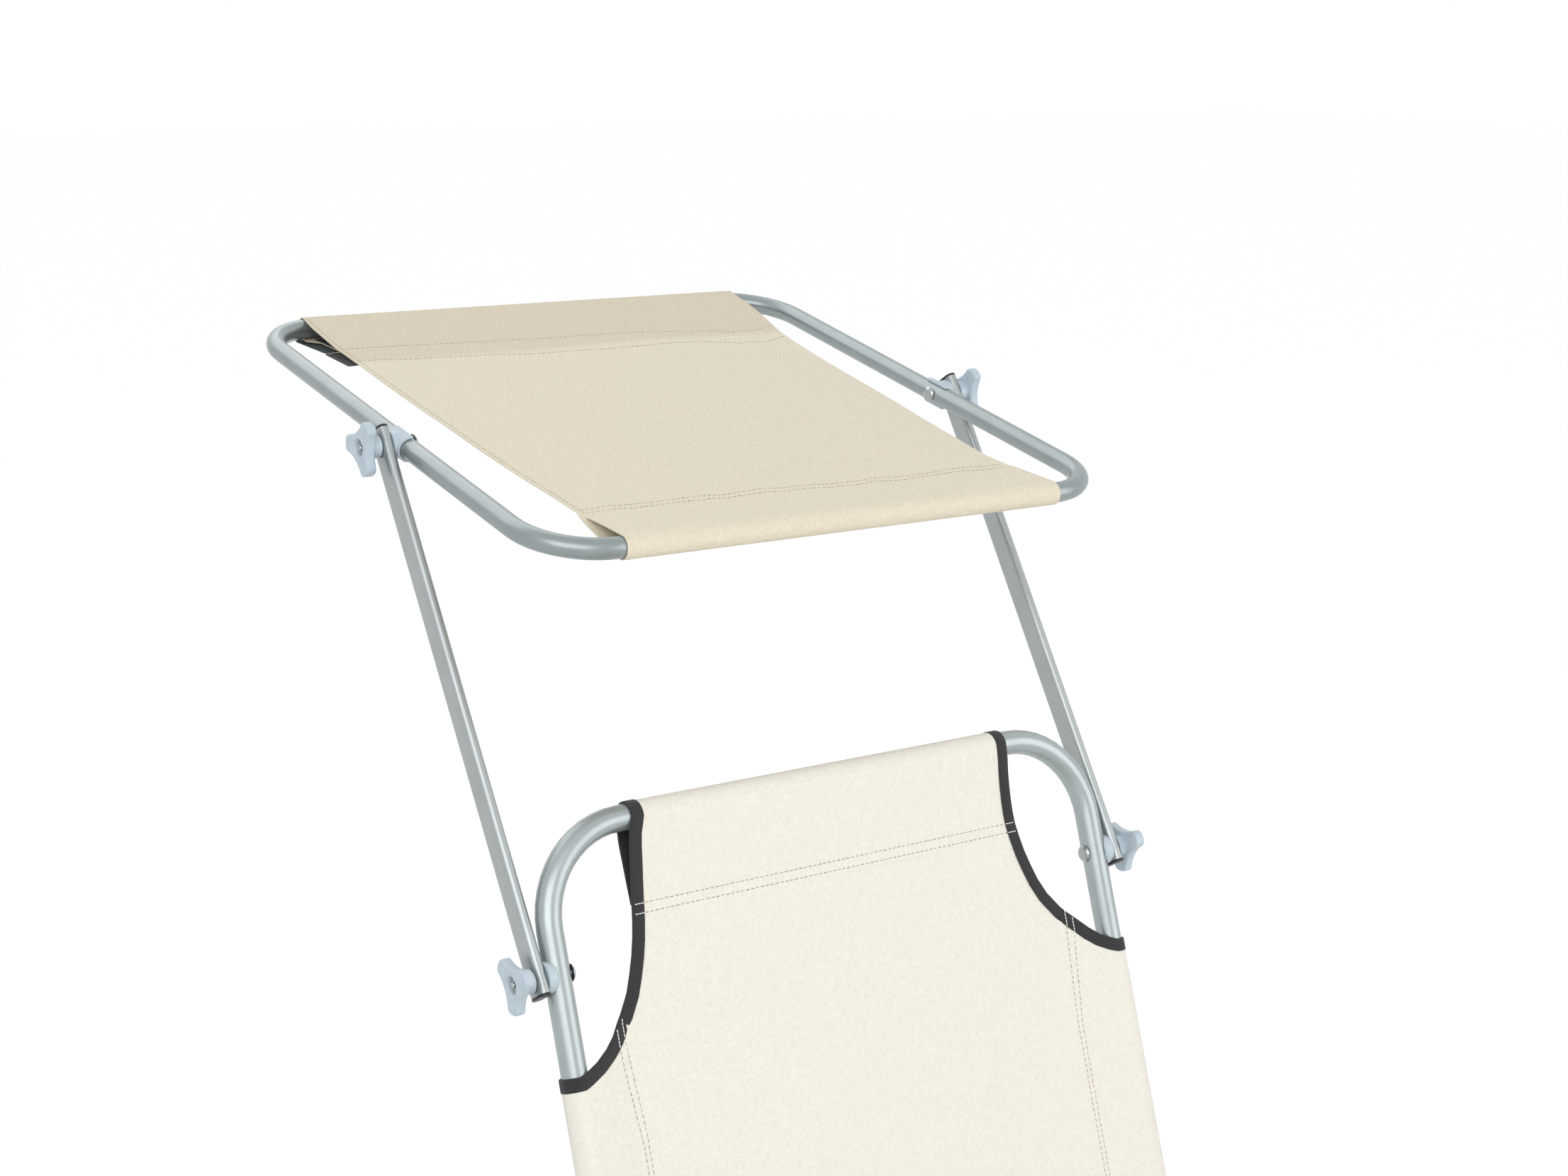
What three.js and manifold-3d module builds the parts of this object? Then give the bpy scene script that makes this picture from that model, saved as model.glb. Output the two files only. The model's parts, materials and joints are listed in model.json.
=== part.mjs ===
// Sun lounger with canopy: a three-section folding bed on three U-shaped legs, with a
// cloth roof on two swinging arms at the head end.
// Millimetres, +Z up, +Y towards the head end. Left and right in the pieces' names are as
// seen from the foot end, so the right side lies at +X.
// The origin lies on the floor, under the middle of the lounger's bounding box.
import * as THREE from "three";
import { mergeVertices } from "three/addons/utils/BufferGeometryUtils.js";
import Module from "manifold-3d";

const wasm = await Module();
wasm.setup();

// Driving dimensions: frame tubes
const outerWidth = 590;
const mainTube = 22;
const canopyTube = 18;
const legTube = 19;
const crossTube = 16;
const tubeWall = 1;
const frameBend = 78;
const canopyBend = 60;
const legBend = 60;

// Driving dimensions: the bed's three sections, from hinge axis to hinge axis or end bar
const railHeight = 262;
const seatLength = 640;
const backReach = 465;
const topBarRise = 113;
const footReach = 607;
const hingeRise = 14;
const hingeEndGap = 8;
const backAngle = 71.5;

// Driving dimensions: arms and canopy
const armPitch = 465;
const armAngle = 57.8;
const armWidth = 24;
const armThickness = 9.5;
const armOverhang = 13;
const armStandOff = 3.25;
const canopyTilt = 12.2;
const canopyStandOff = 4.25;
const canopyFront = 251;
const canopyRear = 302;
const buttGap = 0.8;
const joinerLength = 60;

// Driving dimensions: cloth
const cloth = 1.2;
const sleeveTurn = 48;
const flapHem = 12;
const panelInset = 34;
const hingeClear = 75;
const topSleeveTurn = 71;
const shoulderDrop = 82;
const topClothClear = 8;
const canopyClothOver = 4;
const canopySag = 8;
const frontTurn = 50;
const rearTurn = 95;
const rearHem = 42;
const stripWidth = 48;
const stripRearward = 36;
const stripThickness = 1.5;
const stripTail = 12;

// Driving dimensions: legs
const pivotDrop = 26;
const legLean = 22;
const legStub = 10;
const headPivotInset = 135;
const seatPivot = 150;
const footPivotInset = 162;
const padLength = 40;
const padWall = 2.6;
const padSole = 3.5;
const padInset = 49.9;

// Driving dimensions: plates, pins and rivets
const plate = 2.5;
const plateGap = 0.8;
const lugHalfWidth = 18;
const lugTop = 6;
const lugRadius = 10;
const pinRadius = 3;
const pinHead = 5.5;
const pinHeadHeight = 2;
const stopReach = 20;
const stopHeight = 8;
const hingeDisc = 17;
const toothHeight = 3;
const toothCount = 9;
const toothArc = 150;
const toothStart = 15;
const stripHalfHeight = 7;
const fixedPlateLength = 48;
const movingPlateLength = 64;
const weldPad = 8;
const rivetRadius = 4;
const rivetHead = 7;
const rivetHeadHeight = 2;
const pawlPivotOut = 36;
const pawlPivotDown = 10;
const pawlStud = 2.5;
const pawlEye = 5.5;
const pawlTipAngle = 25;
const pawlTipWidth = 3;
const crossbarInset = 62;

// Driving dimensions: bolts, saddles and knobs
const boltRadius = 3;
const boltHead = 8;
const boltHeadHeight = 3.6;
const boltEndInset = 2.5;
const nutRadius = 4.6;
const nutHeight = 2;
const lowerSaddleRadius = 13.5;
const lowerSaddleSetback = 4.5;
const upperSaddleRadius = 12;
const upperSaddleLength = 27;
const saddleWall = 2.2;
const saddleLip = 2;
const knobLobe = 25;
const knobValley = 13.7;
const knobTaper = 1.8;
const knobThickness = 9;
const knobBevel = 1.5;
const knobHub = 10;
const knobHubLength = 9;
const knobRecess = 7.5;
const knobRecessDepth = 5;
const plugCap = 2;
const plugInsert = 5;
const lowerKnobTurn = 89;
const upperKnobTurn = 64;

// Clearances, shared by everything that fits
const gap = 0.3;
const holeClear = 0.4;
const overrun = 5;
const windowMargin = 3;
const weldTolerance = gap / 1000;

// Facet counts
const tubeSides = 16;
const boreSides = 8;
const nutSides = 6;
const legSides = 12;
const bendSteps = 6;
const canopyBendSteps = 5;
const roundSides = 12;
const knobPoints = 30;
const sagSteps = 10;
const sleeveSteps = 14;
const shoulderSteps = 8;

// Worked out from the driving dimensions
const mainRadius = mainTube / 2;
const canopyRadius = canopyTube / 2;
const legRadius = legTube / 2;
const crossRadius = crossTube / 2;
const railX = outerWidth / 2 - mainRadius;
const panelHalfWidth = railX - panelInset;
const topClothHalf = railX - frameBend - topClothClear;
const topBarReach = backReach + topBarRise;
const headPivot = backReach - headPivotInset;
const footPivot = footReach - footPivotInset;
const plateOuterX = railX - mainRadius - gap;
const plateInnerX = plateOuterX - plate;
const movingOuterX = plateInnerX - plateGap;
const movingInnerX = movingOuterX - plate;
const legX = plateInnerX - plateGap - legRadius;
const padPlace = legX - legBend - padInset;
const legDrop = railHeight - pivotDrop - legRadius - padSole;
const lean = THREE.MathUtils.degToRad(legLean);
const legFold = lean + Math.PI / 2;
const legLength = legDrop / Math.cos(lean);
const armInnerX = outerWidth / 2 + armStandOff;
const armCentre = armInnerX + armThickness / 2;
const armOuterX = armInnerX + armThickness;
const canopyHalfWidth = armInnerX - canopyStandOff - canopyRadius;
const canopyClothHalf = canopyHalfWidth - canopyBend + canopyClothOver;
const knobInnerX = armOuterX + gap;
const knobFaceX = knobInnerX + knobHubLength + knobThickness;
const boltEndX = knobFaceX - boltEndInset;
const toothTip = hingeDisc + toothHeight;
const backTurn = THREE.MathUtils.degToRad(backAngle);
const armTurn = THREE.MathUtils.degToRad(armAngle);
const tiltTurn = THREE.MathUtils.degToRad(canopyTilt);

// The rest pose's extent along Y sets where the origin lies
const sleeveOut = gap + cloth;
const footEndY = -seatLength - footReach - mainRadius - sleeveOut;
const hingeToBoltY = backReach * Math.cos(backTurn) + hingeRise * Math.sin(backTurn);
const canopyEndY = hingeToBoltY + armPitch * Math.cos(armTurn)
  + canopyRear * Math.cos(tiltTurn) + canopyRadius + sleeveOut;
const seatOriginY = -(footEndY + canopyEndY) / 2;

// Colours and finishes as the photograph shows them
const materials = {
  tube: new THREE.MeshStandardMaterial({ color: 0xa9b2b3, roughness: 0.34, metalness: 0.6 }),
  arm: new THREE.MeshStandardMaterial({ color: 0xb4bcbe, roughness: 0.28, metalness: 0.75 }),
  zinc: new THREE.MeshStandardMaterial({ color: 0xb9bec0, roughness: 0.3, metalness: 0.9 }),
  plastic: new THREE.MeshStandardMaterial({ color: 0xa4b6c4, roughness: 0.45, metalness: 0 }),
  black: new THREE.MeshStandardMaterial({ color: 0x1c1d1f, roughness: 0.6, metalness: 0 }),
  sling: new THREE.MeshStandardMaterial({ color: 0xe9e2d0, roughness: 0.9, metalness: 0 }),
  roof: new THREE.MeshStandardMaterial({ color: 0xded2b6, roughness: 0.9, metalness: 0 }),
};

// Turns a closed three.js geometry into a solid that can be joined and cut
function solid(geometry) {
  const plain = geometry.clone();
  plain.deleteAttribute("normal");
  plain.deleteAttribute("uv");
  const merged = mergeVertices(plain, weldTolerance);
  const vertProperties = new Float32Array(merged.attributes.position.array);
  const triVerts = new Uint32Array(merged.index.array);
  return new wasm.Manifold(new wasm.Mesh({ numProp: 3, vertProperties, triVerts }));
}

// Turns a solid back into a geometry
function geometryOf(body) {
  const mesh = body.getMesh();
  const geometry = new THREE.BufferGeometry();
  const positions = new Float32Array(mesh.numVert * 3);
  for (let i = 0; i < mesh.numVert; i += 1) {
    for (let k = 0; k < 3; k += 1) {
      positions[3 * i + k] = mesh.vertProperties[mesh.numProp * i + k];
    }
  }
  geometry.setAttribute("position", new THREE.BufferAttribute(positions, 3));
  geometry.setIndex(new THREE.BufferAttribute(new Uint32Array(mesh.triVerts), 1));
  geometry.computeVertexNormals();
  return geometry;
}

function join(first, ...others) {
  return others.reduce((body, other) => body.add(other), first);
}

function cut(first, ...others) {
  return others.reduce((body, other) => body.subtract(other), first);
}

// A path of stations, each with its own place and direction, so that straights need no rings
class BentPath extends THREE.Curve {
  constructor(stations) {
    super();
    this.stations = stations;
  }

  at(t) {
    return this.stations[Math.round(t * (this.stations.length - 1))];
  }

  getUtoTmapping(u) {
    return u;
  }

  getPoint(t, target = new THREE.Vector3()) {
    return target.copy(this.at(t).point);
  }

  getTangent(t, target = new THREE.Vector3()) {
    return target.copy(this.at(t).way);
  }
}

// Stations round one bend in the XY plane, from one heading to another
function bendStations(centre, radius, fromAngle, toAngle, steps) {
  const turn = Math.sign(toAngle - fromAngle);
  const stations = [];
  for (let i = 0; i <= steps; i += 1) {
    const angle = fromAngle + ((toAngle - fromAngle) * i) / steps;
    const x = centre.x + radius * Math.cos(angle);
    const y = centre.y + radius * Math.sin(angle);
    const way = new THREE.Vector3(-Math.sin(angle) * turn, Math.cos(angle) * turn, 0);
    stations.push({ point: new THREE.Vector3(x, y, 0), way });
  }
  return stations;
}

// A regular polygon; outside gives one that stays clear of a round of that radius
function polygon(sides, radius, outside = false) {
  const reach = outside ? radius / Math.cos(Math.PI / sides) : radius;
  const points = [];
  for (let i = 0; i < sides; i += 1) {
    const angle = (2 * Math.PI * i) / sides;
    points.push(new THREE.Vector2(reach * Math.cos(angle), reach * Math.sin(angle)));
  }
  return points;
}

function tubeShape(radius, sides, bore) {
  const shape = new THREE.Shape(polygon(sides, radius));
  if (bore > 0) {
    shape.holes.push(new THREE.Path(polygon(boreSides, bore)));
  }
  return shape;
}

function bentTube(stations, radius, sides) {
  const shape = tubeShape(radius, sides, radius - tubeWall);
  const extrudePath = new BentPath(stations);
  const steps = stations.length - 1;
  return new THREE.ExtrudeGeometry(shape, { extrudePath, steps });
}

// A U-shaped tube in the XY plane: two legs along +Y joined by a bar at the far end
function uTube(halfWidth, startY, barY, bend, radius, sides) {
  const along = new THREE.Vector3(0, 1, 0);
  const back = new THREE.Vector3(0, -1, 0);
  const left = { x: -halfWidth + bend, y: barY - bend };
  const right = { x: halfWidth - bend, y: barY - bend };
  const stations = [
    { point: new THREE.Vector3(-halfWidth, startY, 0), way: along },
    ...bendStations(left, bend, Math.PI, Math.PI / 2, bendSteps),
    ...bendStations(right, bend, Math.PI / 2, 0, bendSteps),
    { point: new THREE.Vector3(halfWidth, startY, 0), way: back },
  ];
  return bentTube(stations, radius, sides);
}

// A round bar or hole along X
function barX(radius, fromX, toX, y = 0, z = 0, sides = roundSides, outside = false) {
  const shape = new THREE.Shape(polygon(sides, radius, outside));
  const length = Math.abs(toX - fromX);
  const geometry = new THREE.ExtrudeGeometry(shape, { depth: length, bevelEnabled: false });
  geometry.rotateY(Math.PI / 2);
  geometry.translate(Math.min(fromX, toX), y, z);
  return geometry;
}

function box(fromX, toX, fromY, toY, fromZ, toZ) {
  const wide = Math.abs(toX - fromX);
  const deep = Math.abs(toY - fromY);
  const high = Math.abs(toZ - fromZ);
  const geometry = new THREE.BoxGeometry(wide, deep, high);
  geometry.translate((fromX + toX) / 2, (fromY + toY) / 2, (fromZ + toZ) / 2);
  return geometry;
}

// An outline drawn in Y and Z, given thickness along X
function slabX(points, fromX, toX) {
  const shape = new THREE.Shape(vectors(points));
  const depth = Math.abs(toX - fromX);
  const geometry = new THREE.ExtrudeGeometry(shape, { depth, bevelEnabled: false });
  const turn = new THREE.Matrix4().set(0, 0, 1, 0, 1, 0, 0, 0, 0, 1, 0, 0, 0, 0, 0, 1);
  geometry.applyMatrix4(turn);
  geometry.translate(Math.min(fromX, toX), 0, 0);
  return geometry;
}

function circlePoints(y, z, radius, fromAngle, toAngle, steps) {
  const points = [];
  for (let i = 0; i <= steps; i += 1) {
    const angle = fromAngle + ((toAngle - fromAngle) * i) / steps;
    points.push([y + radius * Math.cos(angle), z + radius * Math.sin(angle)]);
  }
  return points;
}

const root = new THREE.Group();

function addMesh(parent, name, geometry, material) {
  const mesh = new THREE.Mesh(geometry, material.clone());
  mesh.name = name;
  parent.add(mesh);
  return mesh;
}

const sides = [
  { name: "left", sign: -1 },
  { name: "right", sign: 1 },
];

// Cloth sleeve drawn across a tube: a ring that closes on the sheet at the stitch line
// Works for a tube at place, with the sheet running towards lower values of the first axis
function sleeveOutline(place, radius, turn, hem, sheetAt) {
  const outer = radius + gap + cloth;
  const inner = radius + gap;
  const stitch = place - turn;
  const sheet = sheetAt(stitch);
  const reach = Math.hypot(turn, sheet - 2 * cloth);
  const lift = Math.atan2(sheet - 2 * cloth, -turn);
  const outerEnd = lift + Math.acos(outer / reach) - 2 * Math.PI;
  const innerReach = Math.hypot(turn, sheet - cloth);
  const innerLift = Math.atan2(sheet - cloth, -turn);
  const innerEnd = innerLift + Math.acos(inner / innerReach) - 2 * Math.PI;
  const top = Math.PI / 2;
  const swell = 1 / Math.cos((top - innerEnd) / (2 * sleeveSteps));
  return {
    outer: circlePoints(place, 0, outer, top, outerEnd, sleeveSteps),
    seam: [[stitch, sheet - 2 * cloth], [stitch - hem, sheetAt(stitch - hem) - 2 * cloth]],
    hemTop: [stitch - hem, sheetAt(stitch - hem) - cloth],
    hole: [
      ...circlePoints(place, 0, inner * swell, top, innerEnd, sleeveSteps),
      [stitch, sheet - cloth],
    ],
  };
}

function vectors(points) {
  return points.map(([a, b]) => new THREE.Vector2(a, b));
}

// An outline drawn in X and Z, given length along Y
function slabY(points, fromY, toY) {
  const shape = new THREE.Shape(points.map(([x, z]) => new THREE.Vector2(x, -z)));
  const depth = toY - fromY;
  const geometry = new THREE.ExtrudeGeometry(shape, { depth, bevelEnabled: false });
  geometry.rotateX(-Math.PI / 2);
  geometry.translate(0, fromY, 0);
  return geometry;
}

// A run of bed cloth: a flat sheet with a sleeve round the tube at each side
function bedRun(fromY, toY) {
  const sheetTop = mainRadius + gap + cloth;
  const outline = sleeveOutline(railX, mainRadius, sleeveTurn, flapHem, () => sheetTop);
  const mirror = (points) => points.map(([x, z]) => [-x, z]).reverse();
  const half = [...outline.outer, ...outline.seam, outline.hemTop];
  const shell = solid(slabY([...half, ...mirror(half)], fromY, toY));
  const hollows = [outline.hole, mirror(outline.hole)].map((hole) => {
    return solid(slabY(hole, fromY - overrun, toY + overrun));
  });
  return cut(shell, ...hollows);
}

// The flat sheet of one section, with the rounded cut-outs at its outer corners
// Shares run from the top bar's cloth edge out to the rail and from the cut's foot to the bar
const shoulderCurveShares = [[1, 0], [0.52, 0.01], [0.28, 0.3], [0.19, 0.58], [0, 1]];

function shoulderPoints(barY) {
  const footY = barY - topBarRise - shoulderDrop;
  const across = railX - topClothHalf;
  const up = barY - footY;
  const [start, pullOut, pullIn, joint, end] = shoulderCurveShares.map(
    ([x, y]) => new THREE.Vector2(topClothHalf + across * x, footY + up * y),
  );
  const curve = new THREE.CubicBezierCurve(start, pullOut, pullIn, joint);
  return [...curve.getPoints(shoulderSteps), end];
}

function sectionSheet(barY) {
  const top = mainRadius + gap + cloth;
  const corner = shoulderPoints(barY);
  const right = [
    new THREE.Vector2(panelHalfWidth, gap),
    new THREE.Vector2(panelHalfWidth, hingeClear),
    new THREE.Vector2(railX, hingeClear),
    ...corner,
  ];
  const left = right.map((p) => new THREE.Vector2(-p.x, p.y)).reverse();
  const shape = new THREE.Shape([...right, ...left]);
  const geometry = new THREE.ExtrudeGeometry(shape, { depth: cloth, bevelEnabled: false });
  geometry.translate(0, 0, top - cloth);
  return geometry;
}

// The sleeve round the bar at a section's end
function barSleeve(barY) {
  const sheetTop = mainRadius + gap + cloth;
  const outline = sleeveOutline(barY, mainRadius, topSleeveTurn, flapHem, () => sheetTop);
  const [hemY] = outline.hemTop;
  const points = [...outline.outer, ...outline.seam, [hemY, sheetTop]];
  const shell = solid(slabX(points, -topClothHalf, topClothHalf));
  const hollow = solid(slabX(outline.hole, -topClothHalf - overrun, topClothHalf + overrun));
  return cut(shell, hollow);
}

// Openings in a side sleeve where a leg's bracket reaches the rail
function bracketWindows(atY) {
  const half = lugHalfWidth + windowMargin;
  const low = -mainRadius - sleeveOut - overrun;
  const high = lugTop + windowMargin;
  return sides.map(({ sign }) => {
    const inner = sign * (plateInnerX - pinHead - windowMargin);
    return solid(box(inner, sign * railX, atY - half, atY + half, low, high));
  });
}

function endSectionCloth(barY, pivotY, name, parent) {
  const runEnd = barY - topBarRise - shoulderDrop;
  const run = bedRun(hingeClear, runEnd);
  const windows = pivotY < runEnd ? bracketWindows(pivotY) : [];
  const body = cut(join(run, solid(sectionSheet(barY)), barSleeve(barY)), ...windows);
  addMesh(parent, name, geometryOf(body), materials.sling);
}

// Holes drilled along X through both sides of a bent frame
function crossHoles(atX, reach, radius, atY) {
  return sides.map(({ sign }) => {
    const from = sign * (atX - reach - overrun);
    const to = sign * (atX + reach + overrun);
    return solid(barX(radius + holeClear, from, to, atY, 0, roundSides, true));
  });
}

// One folding leg: U-shaped tube, two brackets with stops, two clip-on feet
// Local frame: pivot on the origin's X axis, leg lying along +Y in the XY plane
// folded turns it back from its stop; way is -1 in a section that is turned round
function legTurned(parent, pivotY, name, folded, way) {
  const pivot = new THREE.Group();
  pivot.position.set(0, pivotY, -pivotDrop);
  pivot.rotation.x = lean - Math.PI / 2 - folded;
  parent.add(pivot);
  const tube = solid(uTube(legX, -legStub, legLength, legBend, legRadius, legSides));
  const leg = cut(tube, ...crossHoles(legX, legRadius, pinRadius, 0));
  addMesh(pivot, name, geometryOf(leg), materials.tube);
  for (const { name: side, sign } of sides) {
    const foot = addMesh(pivot, `${name}_foot_${side}`, footPad(), materials.black);
    foot.position.set(way * sign * padPlace, legLength, 0);
    foot.rotation.x = Math.PI / 2 - lean;
    const bracket = bracketBody(way * sign);
    const holder = addMesh(parent, `${name}_bracket_${side}`, bracket, materials.zinc);
    holder.position.set(0, pivotY, 0);
  }
}

// A sleeve with a flat sole, worn by the leg's floor bar
function footPad() {
  const outer = legRadius + gap + padWall;
  const soleZ = -legRadius - padSole;
  const side = Math.acos(outer / (legRadius + padSole));
  const from = -Math.PI / 2 + Math.max(side, Math.PI / 4);
  const to = Math.PI + Math.PI / 2 - Math.max(side, Math.PI / 4);
  const round = circlePoints(0, 0, outer, from, to, roundSides);
  const [startY] = round[0];
  const points = [...round, [-startY, soleZ], [startY, soleZ]];
  const shell = solid(slabX(points, -padLength / 2, padLength / 2));
  const bore = barX(legRadius + gap, -padLength, padLength, 0, 0, legSides, true);
  return geometryOf(cut(shell, solid(bore)));
}

// Stamped lug against the rail's inner side, with the leg's pin and stop lip
function bracketBody(sign) {
  const outerX = sign * plateOuterX;
  const innerX = sign * plateInnerX;
  const lipY = legRadius + gap;
  const corners = [
    [-lugHalfWidth, lugTop],
    ...circlePoints(0, -pivotDrop, lugRadius, Math.PI, 1.5 * Math.PI, bendSteps / 2),
    turnPoint(lipY + plate, stopReach + stopHeight),
    turnPoint(lipY + plate, stopReach - stopHeight),
    [lugHalfWidth, -lugTop],
    [lugHalfWidth, lugTop],
  ];
  const lug = solid(slabX(corners, innerX, outerX));
  const pinEnd = sign * (legX - legRadius - plateGap);
  const pin = solid(barX(pinRadius, pinEnd, sign * (plateInnerX + plate / 2), 0, -pivotDrop));
  const headEnd = pinEnd - sign * pinHeadHeight;
  const head = solid(barX(pinHead, headEnd, pinEnd, 0, -pivotDrop));
  const lipPoints = [
    turnPoint(lipY, stopReach - stopHeight),
    turnPoint(lipY, stopReach + stopHeight),
    turnPoint(lipY + plate, stopReach + stopHeight),
    turnPoint(lipY + plate, stopReach - stopHeight),
  ];
  const lip = solid(slabX(lipPoints, sign * legX, innerX + (sign * plate) / 2));
  return geometryOf(join(lug, pin, head, lip));
}

// A place beside the opened leg, out from its axis and down along it, in the rail's frame
function turnPoint(out, down) {
  const y = out * Math.cos(lean) + down * Math.sin(lean);
  const z = -pivotDrop + out * Math.sin(lean) - down * Math.cos(lean);
  return [y, z];
}

// The disc of a hinge plate, with ratchet teeth round part of its edge
function toothedDisc(fromX, toX, toothed) {
  const start = THREE.MathUtils.degToRad(toothStart);
  const step = THREE.MathUtils.degToRad(toothArc) / toothCount;
  const points = [];
  if (toothed) {
    for (let i = 0; i < toothCount; i += 1) {
      const [low, high] = [start + step * i, start + step * (i + 1)];
      points.push([hingeDisc * Math.cos(low), hingeRise + hingeDisc * Math.sin(low)]);
      points.push([toothTip * Math.cos(high), hingeRise + toothTip * Math.sin(high)]);
    }
  }
  const from = toothed ? start + step * toothCount : 0;
  const to = toothed ? start + 2 * Math.PI : 2 * Math.PI;
  points.push(...circlePoints(0, hingeRise, hingeDisc, from, to, 2 * roundSides).slice(0, -1));
  return solid(slabX(points, fromX, toX));
}

function rivetHole(radius, y, z) {
  const from = -railX - overrun;
  return solid(barX(radius + holeClear, from, -from, y, z, roundSides, true));
}

// The plate fixed to the seat rail; way is -1 where the rail runs towards -Y, else 1
function fixedPlate(sign, way, toothed) {
  const fromX = sign * plateInnerX;
  const toX = sign * plateOuterX;
  const disc = toothedDisc(fromX, toX, toothed);
  const strip = box(fromX, toX, 0, way * fixedPlateLength, -stripHalfHeight, stripHalfHeight);
  return geometryOf(cut(join(disc, solid(strip)), rivetHole(rivetRadius, 0, hingeRise)));
}

// The plate on the turning section, one plate further in, with a raised pad on the tube
function movingPlate(sign, withPawl) {
  const fromX = sign * movingInnerX;
  const toX = sign * movingOuterX;
  const disc = toothedDisc(fromX, toX, false);
  const high = stripHalfHeight;
  const strip = solid(box(fromX, toX, 0, movingPlateLength, -high, high));
  const padFrom = movingPlateLength - 2 * weldPad;
  const padBox = box(fromX, sign * plateOuterX, padFrom, movingPlateLength, -high, high);
  let body = join(disc, strip, solid(padBox));
  if (withPawl) {
    const z = hingeRise - pawlPivotDown;
    const stud = barX(pawlStud, sign * (movingInnerX + plate / 2), toX, pawlPivotOut, z);
    const tip = barX(pawlStud, toX, sign * (plateOuterX - gap), pawlPivotOut, z);
    body = join(body, solid(stud), solid(tip));
  }
  return geometryOf(cut(body, rivetHole(rivetRadius, 0, hingeRise)));
}

function hingeRivet(sign) {
  const headX = movingInnerX - gap;
  const outX = plateOuterX + gap;
  const shaft = barX(rivetRadius, sign * headX, sign * outX);
  const inHead = barX(rivetHead, sign * (headX - rivetHeadHeight), sign * headX);
  const outHead = barX(rivetHead, sign * outX, sign * (outX + rivetHeadHeight));
  return geometryOf(join(solid(shaft), solid(inHead), solid(outHead)));
}

// The pawl rides just clear of the ratchet's teeth; drawn about its own stud
function pawlBody(sign) {
  const angle = THREE.MathUtils.degToRad(pawlTipAngle);
  const tipReach = toothTip + gap;
  const tipY = tipReach * Math.cos(angle) - pawlPivotOut;
  const tipZ = tipReach * Math.sin(angle) + pawlPivotDown;
  const away = Math.atan2(tipZ, tipY);
  const outY = tipY + pawlTipWidth * Math.cos(angle);
  const outZ = tipZ + pawlTipWidth * Math.sin(angle);
  const eye = circlePoints(0, 0, pawlEye, away + Math.PI / 2, away + 1.5 * Math.PI, bendSteps);
  const points = [...eye, [outY, outZ], [tipY, tipZ]];
  const half = (plate - gap) / 2;
  const middle = (plateInnerX + plateOuterX) / 2;
  const slab = solid(slabX(points, sign * (middle - half), sign * (middle + half)));
  const from = sign * (plateInnerX - overrun);
  const hole = barX(pawlStud + holeClear, from, sign * railX, 0, 0, roundSides, true);
  return geometryOf(cut(slab, solid(hole)));
}

// A domed bolt along X: head on the tube's inner side, nut in the knob's recess
function bolt(sign, headX) {
  const dome = [];
  for (let i = 0; i <= bendSteps / 2; i += 1) {
    const angle = (Math.PI / 2) * (i / (bendSteps / 2));
    const r = boltHead * Math.cos(angle);
    dome.push(new THREE.Vector2(r, boltHeadHeight * Math.sin(angle)));
  }
  dome[dome.length - 1].x = 0;
  const profile = [new THREE.Vector2(0, 0), ...dome];
  const head = new THREE.LatheGeometry(profile, roundSides);
  head.rotateZ(Math.PI / 2);
  if (sign < 0) {
    head.rotateZ(Math.PI);
  }
  head.translate(sign * headX, 0, 0);
  const shaft = barX(boltRadius, sign * headX, sign * boltEndX);
  const nutFrom = knobFaceX - knobRecessDepth + gap;
  const nut = barX(nutRadius, sign * nutFrom, sign * (nutFrom + nutHeight), 0, 0, nutSides);
  return geometryOf(join(solid(shaft), solid(head), solid(nut)));
}

// Spacer with a coped seat on the back frame's tube; its lips end outside the tube's middle
function lowerSaddle(sign) {
  const from = sign * (railX + lowerSaddleSetback);
  const to = sign * (armInnerX - gap);
  const body = solid(barX(lowerSaddleRadius, from, to, 0, 0, 2 * roundSides));
  return seated(body, sign, railX, mainRadius);
}

// Cuts the tube's room and the bolt's hole out of a saddle
function seated(body, sign, tubeX, radius) {
  const room = new THREE.ExtrudeGeometry(
    new THREE.Shape(polygon(2 * roundSides, radius + gap, true)),
    { depth: 2 * upperSaddleLength, bevelEnabled: false },
  );
  room.rotateX(-Math.PI / 2);
  room.translate(sign * tubeX, -upperSaddleLength, 0);
  const hole = barX(boltRadius + holeClear, 0, sign * knobFaceX, 0, 0, roundSides, true);
  return geometryOf(cut(body, solid(room), solid(hole)));
}

// Spacer that wraps the canopy tube's outer half, with a round boss for the arm
function upperSaddle(sign) {
  const wrapRadius = canopyRadius + gap + saddleWall;
  const wrap = new THREE.ExtrudeGeometry(
    new THREE.Shape(polygon(2 * roundSides, wrapRadius)),
    { depth: upperSaddleLength, bevelEnabled: false },
  );
  wrap.rotateX(-Math.PI / 2);
  wrap.translate(sign * canopyHalfWidth, -upperSaddleLength / 2, 0);
  const lipX = canopyHalfWidth - saddleLip;
  const reach = canopyHalfWidth - wrapRadius - overrun;
  const high = wrapRadius + overrun;
  const half = upperSaddleLength / 2 + overrun;
  const inner = box(sign * reach, sign * lipX, -half, half, -high, high);
  const bossEnd = sign * (armInnerX - gap);
  const boss = barX(upperSaddleRadius, sign * canopyHalfWidth, bossEnd, 0, 0, 2 * roundSides);
  const body = join(cut(solid(wrap), solid(inner)), solid(boss));
  return seated(body, sign, canopyHalfWidth, canopyRadius);
}

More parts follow.
